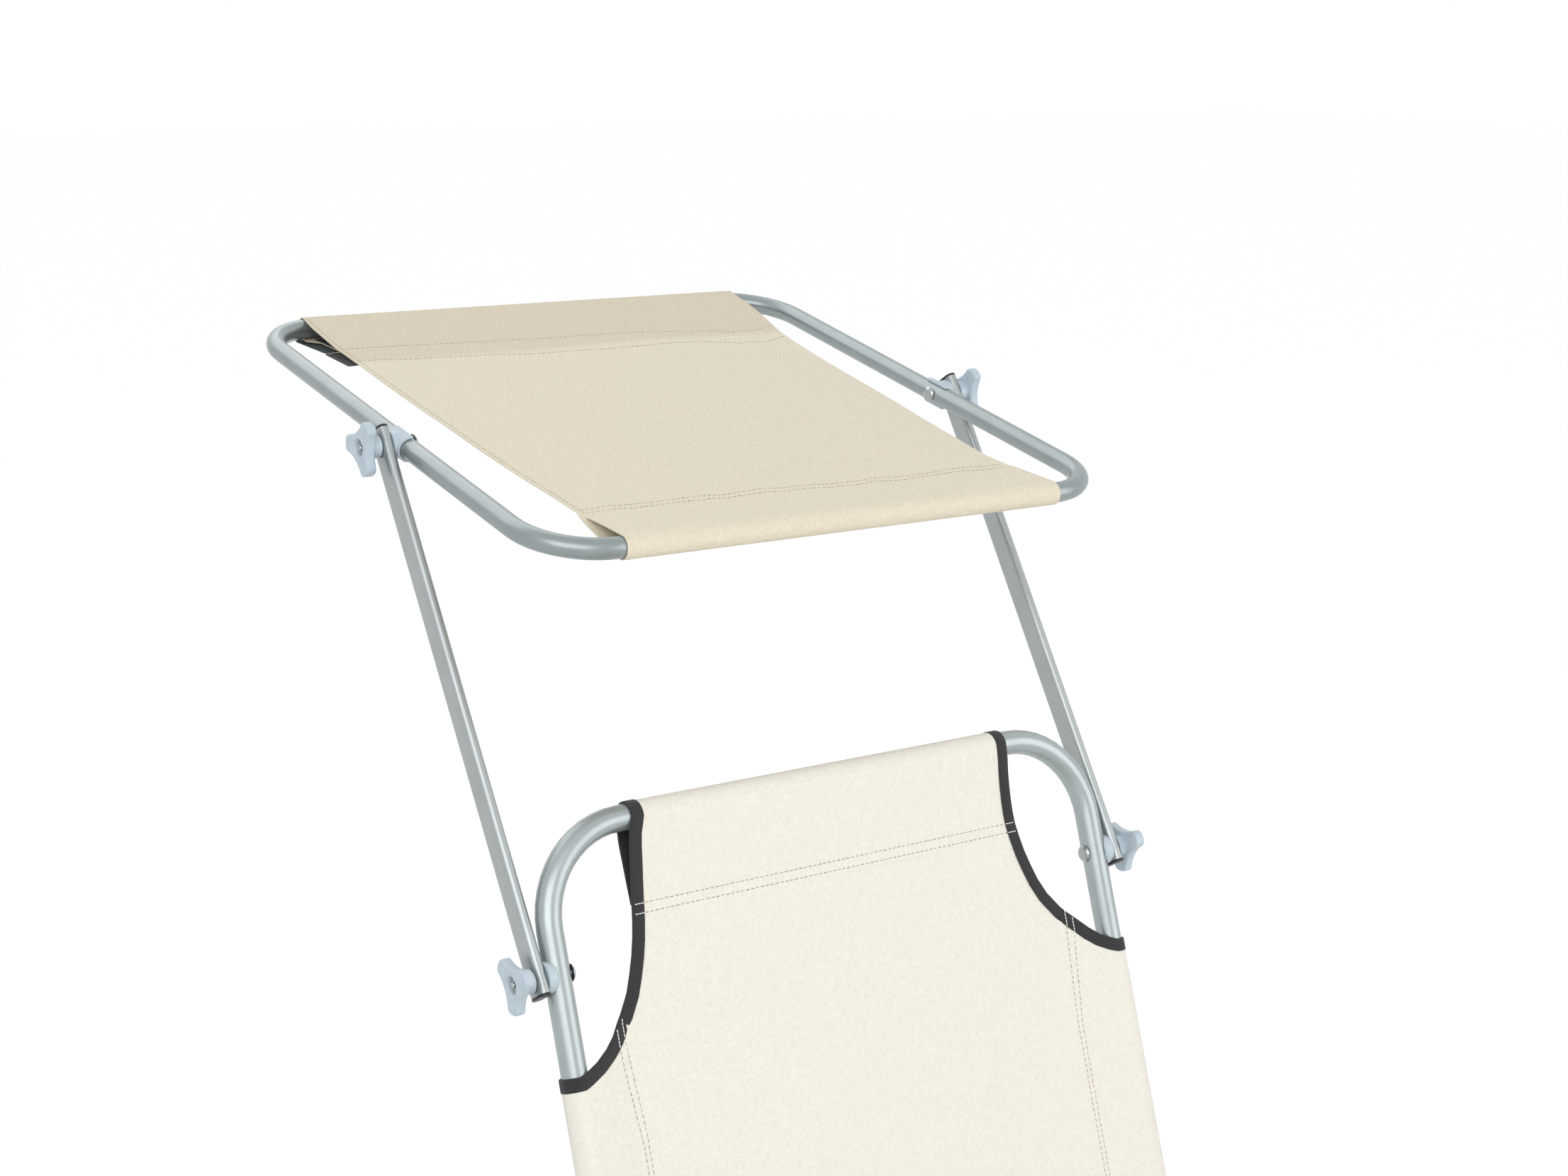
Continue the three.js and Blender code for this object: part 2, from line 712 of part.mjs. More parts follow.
// Three-lobed clamping knob with a hub, a recess and a through hole
function knob(sign, turnDegrees) {
  const shape = new THREE.Shape();
  const points = [];
  for (let i = 0; i < knobPoints; i += 1) {
    const angle = (2 * Math.PI * i) / knobPoints;
    const swell = ((1 + Math.cos(3 * angle)) / 2) ** knobTaper;
    const r = knobValley + (knobLobe - knobValley) * swell - knobBevel;
    points.push(new THREE.Vector2(r * Math.cos(angle), r * Math.sin(angle)));
  }
  shape.setFromPoints(points);
  const lobes = new THREE.ExtrudeGeometry(shape, {
    depth: knobThickness - 2 * knobBevel,
    bevelSize: knobBevel,
    bevelThickness: knobBevel,
    bevelSegments: 1,
  });
  lobes.rotateX(Math.PI / 2);
  lobes.rotateZ(-Math.PI / 2);
  lobes.rotateX(THREE.MathUtils.degToRad(turnDegrees));
  const lowX = knobInnerX + knobHubLength + knobBevel;
  const highX = knobFaceX - knobBevel;
  lobes.computeBoundingBox();
  const middle = (lobes.boundingBox.min.x + lobes.boundingBox.max.x) / 2;
  lobes.translate((sign * (lowX + highX)) / 2 - middle, 0, 0);
  const hubEnd = knobInnerX + knobHubLength + knobBevel;
  const hub = barX(knobHub, sign * knobInnerX, sign * hubEnd, 0, 0, 2 * roundSides);
  const recessX = knobFaceX - knobRecessDepth;
  const recess = barX(knobRecess, sign * recessX, sign * (knobFaceX + overrun));
  const from = sign * (knobInnerX - overrun);
  const to = sign * (knobFaceX + overrun);
  const hole = barX(boltRadius + holeClear, from, to, 0, 0, roundSides, true);
  return geometryOf(cut(join(solid(lobes), solid(hub)), solid(recess), solid(hole)));
}

// Stadium outline in X and Z for the flat-oval arms
function ovalPoints(width, thickness, steps) {
  const r = thickness / 2;
  const straight = width / 2 - r;
  const upper = circlePoints(0, straight, r, 0, Math.PI, steps);
  const lower = circlePoints(0, -straight, r, Math.PI, 2 * Math.PI, steps);
  return vectors([...upper, ...lower]);
}

// Section 1: the seat, which every other body hangs on
const seat = new THREE.Group();
seat.position.set(0, seatOriginY, railHeight);
root.add(seat);

for (const { name: side, sign } of sides) {
  const rail = new THREE.ExtrudeGeometry(
    tubeShape(mainRadius, tubeSides, mainRadius - tubeWall),
    { depth: seatLength - 2 * hingeEndGap, bevelEnabled: false },
  );
  rail.rotateX(Math.PI / 2);
  rail.translate(sign * railX, -hingeEndGap, 0);
  addMesh(seat, `seat_rail_${side}`, rail, materials.tube);
}

const crossbars = [
  { name: "seat_crossbar_back", y: -crossbarInset },
  { name: "seat_crossbar_foot", y: -seatLength + crossbarInset },
];
for (const { name, y } of crossbars) {
  const half = railX - mainRadius - gap;
  const shape = tubeShape(crossRadius, legSides, crossRadius - tubeWall);
  const bar = new THREE.ExtrudeGeometry(shape, { depth: 2 * half, bevelEnabled: false });
  bar.rotateY(Math.PI / 2);
  bar.translate(-half, y, 0);
  addMesh(seat, name, bar, materials.tube);
}

const seatRun = bedRun(-seatLength + hingeClear, -hingeClear);
const seatTop = mainRadius + gap + cloth;
const seatPanel = solid(
  box(-panelHalfWidth, panelHalfWidth, -seatLength + gap, -gap, seatTop - cloth, seatTop),
);
const seatCloth = cut(join(seatRun, seatPanel), ...bracketWindows(-seatPivot));
addMesh(seat, "seat_fabric", geometryOf(seatCloth), materials.sling);
legTurned(seat, -seatPivot, "middle_leg", 0, 1);

// Section 2: the back, turned up about the hinge that lies above the rails
const back = new THREE.Group();
back.position.set(0, 0, hingeRise);
back.rotation.x = backTurn;
seat.add(back);
const backLocal = new THREE.Group();
backLocal.position.set(0, 0, -hingeRise);
back.add(backLocal);

const backU = solid(uTube(railX, hingeEndGap, topBarReach, frameBend, mainRadius, tubeSides));
const backFrame = cut(backU, ...crossHoles(railX, mainRadius, boltRadius, backReach));
addMesh(backLocal, "back_frame", geometryOf(backFrame), materials.tube);
endSectionCloth(topBarReach, headPivot, "back_fabric", backLocal);
legTurned(backLocal, headPivot, "head_leg", legFold, 1);

// Section 3: the foot, built along +Y and turned round to run towards the foot end
const foot = new THREE.Group();
foot.position.set(0, -seatLength, 0);
foot.rotation.z = Math.PI;
seat.add(foot);

const footU = uTube(railX, hingeEndGap, footReach, frameBend, mainRadius, tubeSides);
addMesh(foot, "foot_frame", footU, materials.tube);
endSectionCloth(footReach, footPivot, "foot_fabric", foot);
legTurned(foot, footPivot, "foot_leg", 0, -1);

// Hinges: ratchet at the back, plain at the foot
for (const { name: side, sign } of sides) {
  const backFixed = fixedPlate(sign, -1, true);
  addMesh(seat, `back_hinge_fixed_plate_${side}`, backFixed, materials.zinc);
  const backMoving = movingPlate(sign, true);
  addMesh(backLocal, `back_hinge_moving_plate_${side}`, backMoving, materials.zinc);
  const pawl = addMesh(backLocal, `back_hinge_pawl_${side}`, pawlBody(sign), materials.zinc);
  pawl.position.set(0, pawlPivotOut, hingeRise - pawlPivotDown);
  const backRivet = addMesh(seat, `back_hinge_rivet_${side}`, hingeRivet(sign), materials.zinc);
  backRivet.position.z = hingeRise;
  const footFixed = addMesh(
    seat,
    `foot_hinge_fixed_plate_${side}`,
    fixedPlate(sign, 1, false),
    materials.zinc,
  );
  footFixed.position.y = -seatLength;
  const footMoving = movingPlate(-sign, false);
  addMesh(foot, `foot_hinge_moving_plate_${side}`, footMoving, materials.zinc);
  const footRivet = addMesh(seat, `foot_hinge_rivet_${side}`, hingeRivet(sign), materials.zinc);
  footRivet.position.set(0, -seatLength, hingeRise);
}

// Lower bolts: carried by the back frame, with their saddles and knobs
const lowerJoint = new THREE.Group();
lowerJoint.position.set(0, backReach, 0);
backLocal.add(lowerJoint);
for (const { name: side, sign } of sides) {
  const headX = railX - mainRadius - gap;
  addMesh(lowerJoint, `lower_bolt_${side}`, bolt(sign, headX), materials.zinc);
  addMesh(lowerJoint, `lower_saddle_${side}`, lowerSaddle(sign), materials.plastic);
  const lowerKnob = knob(sign, lowerKnobTurn - backAngle);
  addMesh(lowerJoint, `lower_knob_${side}`, lowerKnob, materials.plastic);
}

// Arms: built along +Y from the lower bolts to the upper ones
const arms = new THREE.Group();
arms.rotation.x = armTurn - backTurn;
lowerJoint.add(arms);
const armFrom = -armOverhang;
const armTo = armPitch + armOverhang;
for (const { name: side, sign } of sides) {
  const shape = new THREE.Shape(ovalPoints(armWidth, armThickness, bendSteps));
  const boreWidth = armWidth - 2 * tubeWall;
  const boreThickness = armThickness - 2 * tubeWall;
  shape.holes.push(new THREE.Path(ovalPoints(boreWidth, boreThickness, bendSteps / 2)));
  const tube = new THREE.ExtrudeGeometry(shape, { depth: armTo - armFrom, bevelEnabled: false });
  tube.rotateX(-Math.PI / 2);
  tube.translate(sign * armCentre, armFrom, 0);
  const holes = [0, armPitch].map((y) => {
    const to = sign * (armOuterX + overrun);
    const from = sign * (armInnerX - overrun);
    return solid(barX(boltRadius + holeClear, from, to, y, 0, roundSides, true));
  });
  addMesh(arms, `arm_${side}`, geometryOf(cut(solid(tube), ...holes)), materials.arm);
  for (const [end, y, way] of [["lower", armFrom, -1], ["upper", armTo, 1]]) {
    const cap = new THREE.ExtrudeGeometry(
      new THREE.Shape(ovalPoints(armWidth, armThickness, bendSteps)),
      { depth: plugCap, bevelEnabled: false },
    );
    cap.rotateX(-Math.PI / 2);
    const capStart = way > 0 ? gap : -gap - plugCap;
    cap.translate(0, capStart, 0);
    const insertWidth = boreWidth - 4 * gap;
    const insertThickness = boreThickness - 4 * gap;
    const insert = new THREE.ExtrudeGeometry(
      new THREE.Shape(ovalPoints(insertWidth, insertThickness, bendSteps / 2)),
      { depth: plugInsert + gap + plugCap / 2, bevelEnabled: false },
    );
    insert.rotateX(-Math.PI / 2);
    const insertStart = way > 0 ? -plugInsert : -gap - plugCap / 2;
    insert.translate(0, insertStart, 0);
    const body = geometryOf(join(solid(cap), solid(insert)));
    const plug = addMesh(arms, `arm_plug_${end}_${side}`, body, materials.black);
    plug.position.set(sign * armCentre, y, 0);
  }
}

// Canopy: one bent tube on the upper bolts, with its cloth
const canopy = new THREE.Group();
canopy.position.set(0, armPitch, 0);
canopy.rotation.x = tiltTurn - armTurn;
arms.add(canopy);

const insideX = canopyHalfWidth - canopyBend;
const frontInside = -canopyFront + canopyBend;
const rearInside = canopyRear - canopyBend;
const right = 0;
const rear = Math.PI / 2;
const left = Math.PI;
const front = -Math.PI / 2;
const east = new THREE.Vector3(1, 0, 0);
const frontRight = { x: insideX, y: frontInside };
const rearRight = { x: insideX, y: rearInside };
const rearLeft = { x: -insideX, y: rearInside };
const frontLeft = { x: -insideX, y: frontInside };
const canopyStations = [
  { point: new THREE.Vector3(buttGap / 2, -canopyFront, 0), way: east },
  ...bendStations(frontRight, canopyBend, front, right, canopyBendSteps),
  ...bendStations(rearRight, canopyBend, right, rear, canopyBendSteps),
  ...bendStations(rearLeft, canopyBend, rear, left, canopyBendSteps),
  ...bendStations(frontLeft, canopyBend, left, left - front, canopyBendSteps),
  { point: new THREE.Vector3(-buttGap / 2, -canopyFront, 0), way: east },
];
const canopyLoop = solid(bentTube(canopyStations, canopyRadius, tubeSides));
const canopyHoles = crossHoles(canopyHalfWidth, canopyRadius, boltRadius, 0);
addMesh(canopy, "canopy_frame", geometryOf(cut(canopyLoop, ...canopyHoles)), materials.tube);

const boreFlat = (canopyRadius - tubeWall) * Math.cos(Math.PI / boreSides);
const joiner = barX(boreFlat - gap, -joinerLength / 2, joinerLength / 2, -canopyFront, 0);
addMesh(canopy, "canopy_frame_joiner", joiner, materials.black);

// The roof cloth sags between the bars; its edges draw in and flare at both sleeves
const roofTop = canopyRadius + gap + cloth;
const roofSpan = canopyFront + canopyRear;

function roofSheet(v) {
  const share = (v + canopyFront) / roofSpan;
  return roofTop - 4 * canopySag * share * (1 - share);
}

function roofSection() {
  const rearPart = sleeveOutline(canopyRear, canopyRadius, rearTurn, rearHem, roofSheet);
  const mirroredSheet = (v) => roofSheet(-v);
  const frontPart = sleeveOutline(canopyFront, canopyRadius, frontTurn, flapHem, mirroredSheet);
  const flip = (points) => points.map(([v, z]) => [-v, z]).reverse();
  const under = [];
  const over = [];
  for (let i = 1; i < sagSteps; i += 1) {
    const v = -canopyFront + (roofSpan * i) / sagSteps;
    over.push([v, roofSheet(v)]);
    if (v < rearPart.hemTop[0] && v > -frontPart.hemTop[0]) {
      under.unshift([v, roofSheet(v) - cloth]);
    }
  }
  const points = [
    ...over,
    ...rearPart.outer,
    ...rearPart.seam,
    rearPart.hemTop,
    ...under,
    ...flip([...frontPart.outer, ...frontPart.seam, frontPart.hemTop]),
  ];
  return { points, holes: [rearPart.hole, flip(frontPart.hole)] };
}

const section = roofSection();
const roofHalf = canopyClothHalf + overrun;
const roofSlab = solid(slabX(section.points, -roofHalf, roofHalf));
const roofHollows = section.holes.map((hole) => {
  return solid(slabX(hole, -roofHalf - overrun, roofHalf + overrun));
});

// Half-widths of the roof cloth as shares of its widest, from the rear edge to the front
const roofEdgeShares = [
  [1, 1],
  [0.8, 1],
  [0.6, 0.975],
  [0.45, 0.945],
  [0.3, 0.92],
  [0.15, 0.925],
  [0.08, 0.955],
  [0, 0.98],
];
const roofLength = roofSpan + 2 * roofTop;
const roofEdge = roofEdgeShares.map(([along, wide]) => {
  const y = -canopyFront - roofTop + roofLength * along;
  return new THREE.Vector2(canopyClothHalf * wide, y);
});
roofEdge[0].y += overrun;
roofEdge[roofEdge.length - 1].y -= overrun;
const roofOutline = [...roofEdge, ...roofEdge.map((p) => new THREE.Vector2(-p.x, p.y)).reverse()];
const roofPrism = new THREE.ExtrudeGeometry(new THREE.Shape(roofOutline), {
  depth: 4 * roofTop,
  bevelEnabled: false,
});
roofPrism.translate(0, 0, -2 * roofTop);
const roof = cut(roofSlab, ...roofHollows).intersect(solid(roofPrism));
addMesh(canopy, "canopy_fabric", geometryOf(roof), materials.roof);

// Hook-and-loop strip under the rear flap, across its seam, with a tail past the left edge
const rearFlap = sleeveOutline(canopyRear, canopyRadius, rearTurn, rearHem, roofSheet);
const flapFoot = rearFlap.outer[rearFlap.outer.length - 1];
const [flapSeam] = rearFlap.seam;

function stripTop(v) {
  if (v <= flapSeam[0]) {
    return roofSheet(v) - 2 * cloth - gap;
  }
  const share = (v - flapSeam[0]) / (flapFoot[0] - flapSeam[0]);
  return flapSeam[1] + (flapFoot[1] - flapSeam[1]) * share - gap;
}

const stripRear = flapSeam[0] + stripRearward;
const stripFront = stripRear - stripWidth;
const stripPoints = [
  [stripFront, stripTop(stripFront)],
  [stripFront, stripTop(stripFront) - stripThickness],
  [stripRear, stripTop(stripRear) - stripThickness],
  [stripRear, stripTop(stripRear)],
];
const strip = slabX(stripPoints, -canopyClothHalf - stripTail, canopyClothHalf);
addMesh(canopy, "canopy_hook_strip", strip, materials.black);

for (const { name: side, sign } of sides) {
  const headX = canopyHalfWidth - canopyRadius - gap;
  addMesh(canopy, `upper_bolt_${side}`, bolt(sign, headX), materials.zinc);
  addMesh(canopy, `upper_saddle_${side}`, upperSaddle(sign), materials.plastic);
  const upperKnob = knob(sign, upperKnobTurn - canopyTilt);
  addMesh(canopy, `upper_knob_${side}`, upperKnob, materials.plastic);
}

export default root;
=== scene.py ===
# %% [markdown]
# # A sun lounger with a canopy
# The lounger is a folding bed of bent steel tube with woven cloth stretched over it. At its
# head end two flat arms hold a second, smaller tube frame with a cloth roof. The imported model
# brings the true sizes and the moving bodies. This lesson gives every piece its real surface:
# round tubes, moulded knobs, sewn sleeves, tape and weave.

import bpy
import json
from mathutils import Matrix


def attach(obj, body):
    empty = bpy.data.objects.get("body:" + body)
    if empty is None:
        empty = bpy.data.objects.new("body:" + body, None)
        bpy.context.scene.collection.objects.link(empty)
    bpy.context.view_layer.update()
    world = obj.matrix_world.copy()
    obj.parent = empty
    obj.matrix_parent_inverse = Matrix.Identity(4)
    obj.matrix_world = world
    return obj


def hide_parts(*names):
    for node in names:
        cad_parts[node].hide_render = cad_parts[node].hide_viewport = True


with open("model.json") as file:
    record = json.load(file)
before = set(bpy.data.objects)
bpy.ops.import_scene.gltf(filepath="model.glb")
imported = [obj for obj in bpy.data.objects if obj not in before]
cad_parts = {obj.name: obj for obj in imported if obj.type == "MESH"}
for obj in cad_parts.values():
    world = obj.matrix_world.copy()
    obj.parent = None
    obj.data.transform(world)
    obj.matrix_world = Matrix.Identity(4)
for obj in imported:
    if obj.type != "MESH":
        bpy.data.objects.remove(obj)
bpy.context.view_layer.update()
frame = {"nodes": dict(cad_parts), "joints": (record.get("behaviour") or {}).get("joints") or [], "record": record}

# %% [markdown]
# ## Where each section stands
# Every section is drawn lying flat, as a maker draws it, and is then turned to where the model
# holds it. The turning points come from the joints, so nothing has to be fitted by eye.

# %% Sizes of the lounger, in metres
import json
from math import acos, atan2, cos, degrees, hypot, pi, radians, sin

import bmesh
import bpy
from mathutils import Matrix, Vector, noise
from mathutils.bvhtree import BVHTree

rail_x, rail_height, main_radius, hinge_rise = 0.284, 0.262, 0.011, 0.014
seat_length, back_reach, bar_rise, foot_reach, hinge_gap = 0.640, 0.465, 0.113, 0.607, 0.008
back_bar = back_reach + bar_rise
main_bend, leg_bend, canopy_bend, bar_radius, bar_inset = 0.078, 0.060, 0.060, 0.008, 0.062
arm_pitch, arm_x, arm_width, arm_thick, arm_over = 0.465, 0.303, 0.024, 0.0095, 0.013
canopy_x, canopy_front, canopy_rear, canopy_radius = 0.285, 0.251, 0.302, 0.009
leg_x, leg_radius, leg_drop, leg_lean, leg_stub, sole = 0.2599, 0.0095, 0.026, 22, 0.010, 0.0035
middle_pivot, head_pivot, foot_pivot = -0.150, 0.330, 0.445
back_angle, arm_angle, canopy_angle = 71.5, 57.8, 12.2
tube_wall, cloth, clear, bolt_bore = 0.001, 0.0012, 0.0003, 0.0034
both_sides = (("left", -1), ("right", 1))
joints = {j["name"]: Vector(j["pos_m"]) for j in frame["joints"]}
print("back hinge at", [round(v, 4) for v in joints["back_hinge"]])

# %% Places of the sections


def turn(angle, axis):
    return Matrix.Rotation(radians(angle), 4, axis)


def shift(x, y, z):
    return Matrix.Translation((x, y, z))


def read_table(table, at):
    """The values at a place between the rows (place, value, ...) of a table."""
    rows = sorted(table)
    for (a0, *low), (a1, *high) in zip(rows, rows[1:]):
        if at <= a1:
            share = max(0.0, (at - a0) / (a1 - a0))
            return [p + (q - p) * share for p, q in zip(low, high)]
    return rows[-1][1:]


def to_side(sign):
    """Turns a piece that is made for the right to its own side."""
    return turn(0 if sign > 0 else 180, "Z")


seat_place = shift(0, joints["back_hinge"].y, rail_height)
hinge_turn = shift(0, 0, hinge_rise) @ turn(back_angle, "X") @ shift(0, 0, -hinge_rise)
back_place = seat_place @ hinge_turn
foot_place = seat_place @ shift(0, -seat_length, 0) @ turn(180, "Z")
lower_place = back_place @ shift(0, back_reach, 0)
arm_place = lower_place @ turn(arm_angle - back_angle, "X")
canopy_place = arm_place @ shift(0, arm_pitch, 0) @ turn(canopy_angle - arm_angle, "X")
leg_places = {}
for name, section, pivot_y, folded in (
    ("middle_leg", seat_place, middle_pivot, 0),
    ("head_leg", back_place, head_pivot, leg_lean + 90),
    ("foot_leg", foot_place, foot_pivot, 0),
):
    swing = turn(leg_lean - 90 - folded, "X")
    leg_places[name] = section @ shift(0, pivot_y, -leg_drop) @ swing
end_sections = (("back", back_bar, back_place), ("foot", foot_reach, foot_place))
print("canopy bolts at height", round(canopy_place.translation.z, 3))

# %% [markdown]
# ## Finishes
# Good finishes come before shapes, because they decide how much shape has to be modelled.
# Each is a small node graph on a Principled shader: constants sit on the shader's own sockets,
# and only what varies over the surface is wired in.

# %% A material to start from


def shader_of(material):
    return material.node_tree.nodes["Principled BSDF"]


def finish_of(name, colour, roughness, metallic=0.0, **sockets):
    material = bpy.data.materials.new(name)
    material.use_nodes = True
    material.diffuse_color = (*colour, 1)
    values = {"Base Color": (*colour, 1), "Roughness": roughness, "Metallic": metallic, **sockets}
    for socket, value in values.items():
        shader_of(material).inputs[socket.replace("_", " ")].default_value = value
    return material


def node(owner, kind, values=(), **settings):
    """A node in the tree of a material or a world."""
    made = owner.node_tree.nodes.new(kind)
    for key, value in settings.items():
        setattr(made, key, value)
    for key, value in dict(values).items():
        made.inputs[key].default_value = value
    return made


def wire(owner, *pairs):
    for source, target in pairs:
        owner.node_tree.links.new(source, target)


def maths(owner, operation, *values):
    """A sum of numbers and of other nodes' outputs."""
    made = node(owner, "ShaderNodeMath", operation=operation)
    for socket, value in zip(made.inputs, values):
        if isinstance(value, (int, float)):
            socket.default_value = value
        else:
            wire(owner, (value, socket))
    return made.outputs[0]


def mixed(owner, factor, low, high):
    """Runs a colour from low to high as the factor goes from 0 to 1."""
    mix = node(owner, "ShaderNodeMix", {6: (*low, 1), 7: (*high, 1)}, data_type="RGBA")
    wire(owner, (factor, mix.inputs[0]))
    return mix.outputs[2]


def vary_colour(material, factor, low, high):
    colour = mixed(material, factor, low, high)
    wire(material, (colour, shader_of(material).inputs["Base Color"]))


def grain(material, scale, detail=3.0):
    """Noise that is fixed to the piece."""
    place = node(material, "ShaderNodeTexCoord")
    texture = node(material, "ShaderNodeTexNoise", {"Scale": scale, "Detail": detail})
    wire(material, (place.outputs["Object"], texture.inputs["Vector"]))
    return texture.outputs["Fac"]


def between(material, value, low, high, from_low=0.3, from_high=0.7):
    limits = {1: from_low, 2: from_high, 3: low, 4: high}
    span = node(material, "ShaderNodeMapRange", limits)
    wire(material, (value, span.inputs[0]))
    return span.outputs[0]


def relief(material, height, distance, strength=1.0):
    bump = node(material, "ShaderNodeBump", {"Strength": strength, "Distance": distance})
    wire(
        material,
        (height, bump.inputs["Height"]),
        (bump.outputs[0], shader_of(material).inputs["Normal"]),
    )


def mottled(name, low, high, scale, roughness, metallic=0.0, plain=None, **sockets):
    """A finish whose tone drifts slowly between two colours. plain: its colour where flat."""
    material = finish_of(name, plain or high, roughness, metallic, **sockets)
    vary_colour(material, between(material, grain(material, scale), 0, 1), low, high)
    return material

# %% [markdown]
# ### Metal
# The frame has a smooth satin silver-grey coat, with a faint slow change of tone and gloss
# where the coat lies thicker. The canopy tube has the same coat, set darker as painted shade.
# The arms are a brighter silver, and the bolts and hinge plates are zinc plated, so they
# mirror more.

# %% Metal finishes


def coated_metal(name, low, high, roughness, metallic):
    material = mottled(name, low, high, 40, roughness, metallic)
    satin = between(material, grain(material, 24), roughness - 0.02, roughness + 0.03)
    wire(material, (satin, shader_of(material).inputs["Roughness"]))
    return material


frame_coat, canopy_shaded_coat, arm_coat, zinc_plate = (
    coated_metal(*finish)
    for finish in (
        ("frame_silver_coat", (0.360, 0.402, 0.404), (0.392, 0.436, 0.438), 0.30, 0.55),
        # the canopy tube's coat is the frame's paint set darker: painted shade
        ("canopy_silver_coat", (0.275, 0.312, 0.312), (0.300, 0.340, 0.340), 0.30, 0.55),
        ("arm_drawn_silver", (0.365, 0.392, 0.392), (0.395, 0.425, 0.425), 0.36, 0.78),
        ("bright_zinc_plate", (0.34, 0.36, 0.365), (0.40, 0.42, 0.425), 0.22, 1.0),
    )
)
print("metal finishes", 4)

# %% [markdown]
# ### Plastic
# The knobs and saddles are one light blue-grey plastic with a soft, waxy gloss; the arm plugs
# and the leg's feet are black. Moulded plastic is never quite even, so a slow noise shifts
# its tone and a fine one gives the spark-eroded skin.

# %% Plastic finishes


def moulded(name, low, high, roughness):
    material = mottled(name, low, high, 70, roughness, Specular_IOR_Level=0.45)
    relief(material, grain(material, 1500, detail=1.0), 0.00004)
    return material


knob_plastic, black_plastic = (
    moulded(*finish)
    for finish in (
        ("knob_blue_grey_plastic", (0.45, 0.535, 0.595), (0.52, 0.60, 0.655), 0.34),
        ("black_moulded_plastic", (0.012, 0.012, 0.013), (0.024, 0.024, 0.026), 0.42),
    )
)
print("plastic finishes", 2)

# %% [markdown]
# ### Cloth
# The sling and the roof are one cream polyester in a twill weave. A twill is told by its
# diagonal: a wave of about a millimetre across the diagonal, broken by a finer wave along it
# where the yarns dive. Each cloth piece carries a UV map in metres, so the weave keeps its
# size and follows the sleeves round the tubes.

# %% Cloth finishes


def map_axes(material):
    """The cloth's own map, in metres across and along its pattern."""
    cut = node(material, "ShaderNodeUVMap", uv_map="weave")
    parts = node(material, "ShaderNodeSeparateXYZ")
    wire(material, (cut.outputs[0], parts.inputs[0]))
    return parts.outputs[0], parts.outputs[1]


def wave(material, value, pitch):
    return maths(material, "SINE", maths(material, "MULTIPLY", value, 2 * pi / pitch))


def twill(name, low, high, slant, painted_shade_from=None):
    """slant: how steep the diagonal is. The last argument: from where along it the tone is set deeper, as painted
    shade.
    """
    shine = {"Sheen_Weight": 0.12, "Sheen_Roughness": 0.5, "Specular_IOR_Level": 0.25}
    material = finish_of(name, high, 0.86, **shine)
    u, v = map_axes(material)
    diagonal, dives = (
        wave(material, maths(material, "MULTIPLY_ADD", v, tilt, u), pitch * 2**0.5)
        for tilt, pitch in ((slant, 0.00125), (-slant, 0.00095))
    )
    height = maths(material, "ADD", diagonal, maths(material, "MULTIPLY", dives, 0.45))
    slubs = maths(material, "MULTIPLY", grain(material, 260), 1.6)
    tone = maths(material, "ADD", maths(material, "MULTIPLY", height, 0.4), slubs)
    # Along the roof's rear part, where the cloth lies double, the tone is lowered: painted shade, as if less light
    # came through.
    if painted_shade_from is not None:
        shade = between(material, v, 0, 1, painted_shade_from - 0.006, painted_shade_from + 0.006)
        tone = maths(material, "SUBTRACT", tone, shade)
    vary_colour(material, between(material, tone, 0, 1, -0.4, 1.9), low, high)
    relief(material, height, 0.00025, 0.5)
    return material


sling_cloth = twill("cream_twill_sling", (0.77, 0.72, 0.61), (0.95, 0.92, 0.84), 1)
# The roof is the sling's cloth, but its tones are set deeper: painted shade on the roof's top.
roof_shaded_tones = (0.68, 0.59, 0.45), (0.88, 0.80, 0.645)
roof_cloth = twill("cream_twill_roof", *roof_shaded_tones, -0.55, painted_shade_from=0.186)
print("cloth finishes", 2)

# %% [markdown]
# ### Tape and thread
# The cut-outs are bound with black tape in an open basket weave: rows of small pale glints
# between dark gaps. Seams are sewn with a light thread whose tones are set darker, as painted
# shade along the stitches, and with white where they cross the tape. The roof's strip is black
# hook-and-loop pile.

# %% Tape, thread and pile
black_tape = finish_of("black_binding_tape", (0.02, 0.02, 0.022), 0.72, Sheen_Weight=0.1)
rows, columns = (wave(black_tape, *p) for p in zip(map_axes(black_tape), (0.0015, 0.0012)))
knots = maths(black_tape, "MULTIPLY", rows, columns)
glints = between(black_tape, knots, 0, 1, 0.45, 1.0)
vary_colour(black_tape, glints, (0.006, 0.006, 0.007), (0.10, 0.10, 0.11))
relief(black_tape, knots, 0.0003, 0.7)
light_thread_painted_shade, white_thread, hook_pile, painted_shade_sheet = (
    mottled(name, *tones, scale, roughness, plain=plain, Sheen_Weight=sheen)
    for name, plain, tones, scale, roughness, sheen in (
        # light thread set darker than it is: painted shade along the stitches
        (
            "light_thread_painted_shade", (0.52, 0.45, 0.34),
            ((0.30, 0.25, 0.18), (0.58, 0.51, 0.40)), 260, 0.7, 0,
        ),
        (
            "white_thread", (0.85, 0.85, 0.83),
            ((0.70, 0.70, 0.68), (0.92, 0.92, 0.90)), 700, 0.6, 0,
        ),
        (
            "black_hook_pile", (0.012, 0.012, 0.014),
            ((0.006, 0.006, 0.008), (0.035, 0.035, 0.038)), 1400, 0.9, 0.2,
        ),
        # a dark grey-green sheet for the inside of the roof's rear sleeve: painted shade
        (
            "dark_painted_shade_sheet", (0.055, 0.075, 0.072),
            ((0.035, 0.050, 0.048), (0.085, 0.110, 0.105)), 900, 0.8, 0,
        ),
    )
)
relief(hook_pile, grain(hook_pile, 1100, detail=1.0), 0.0008)
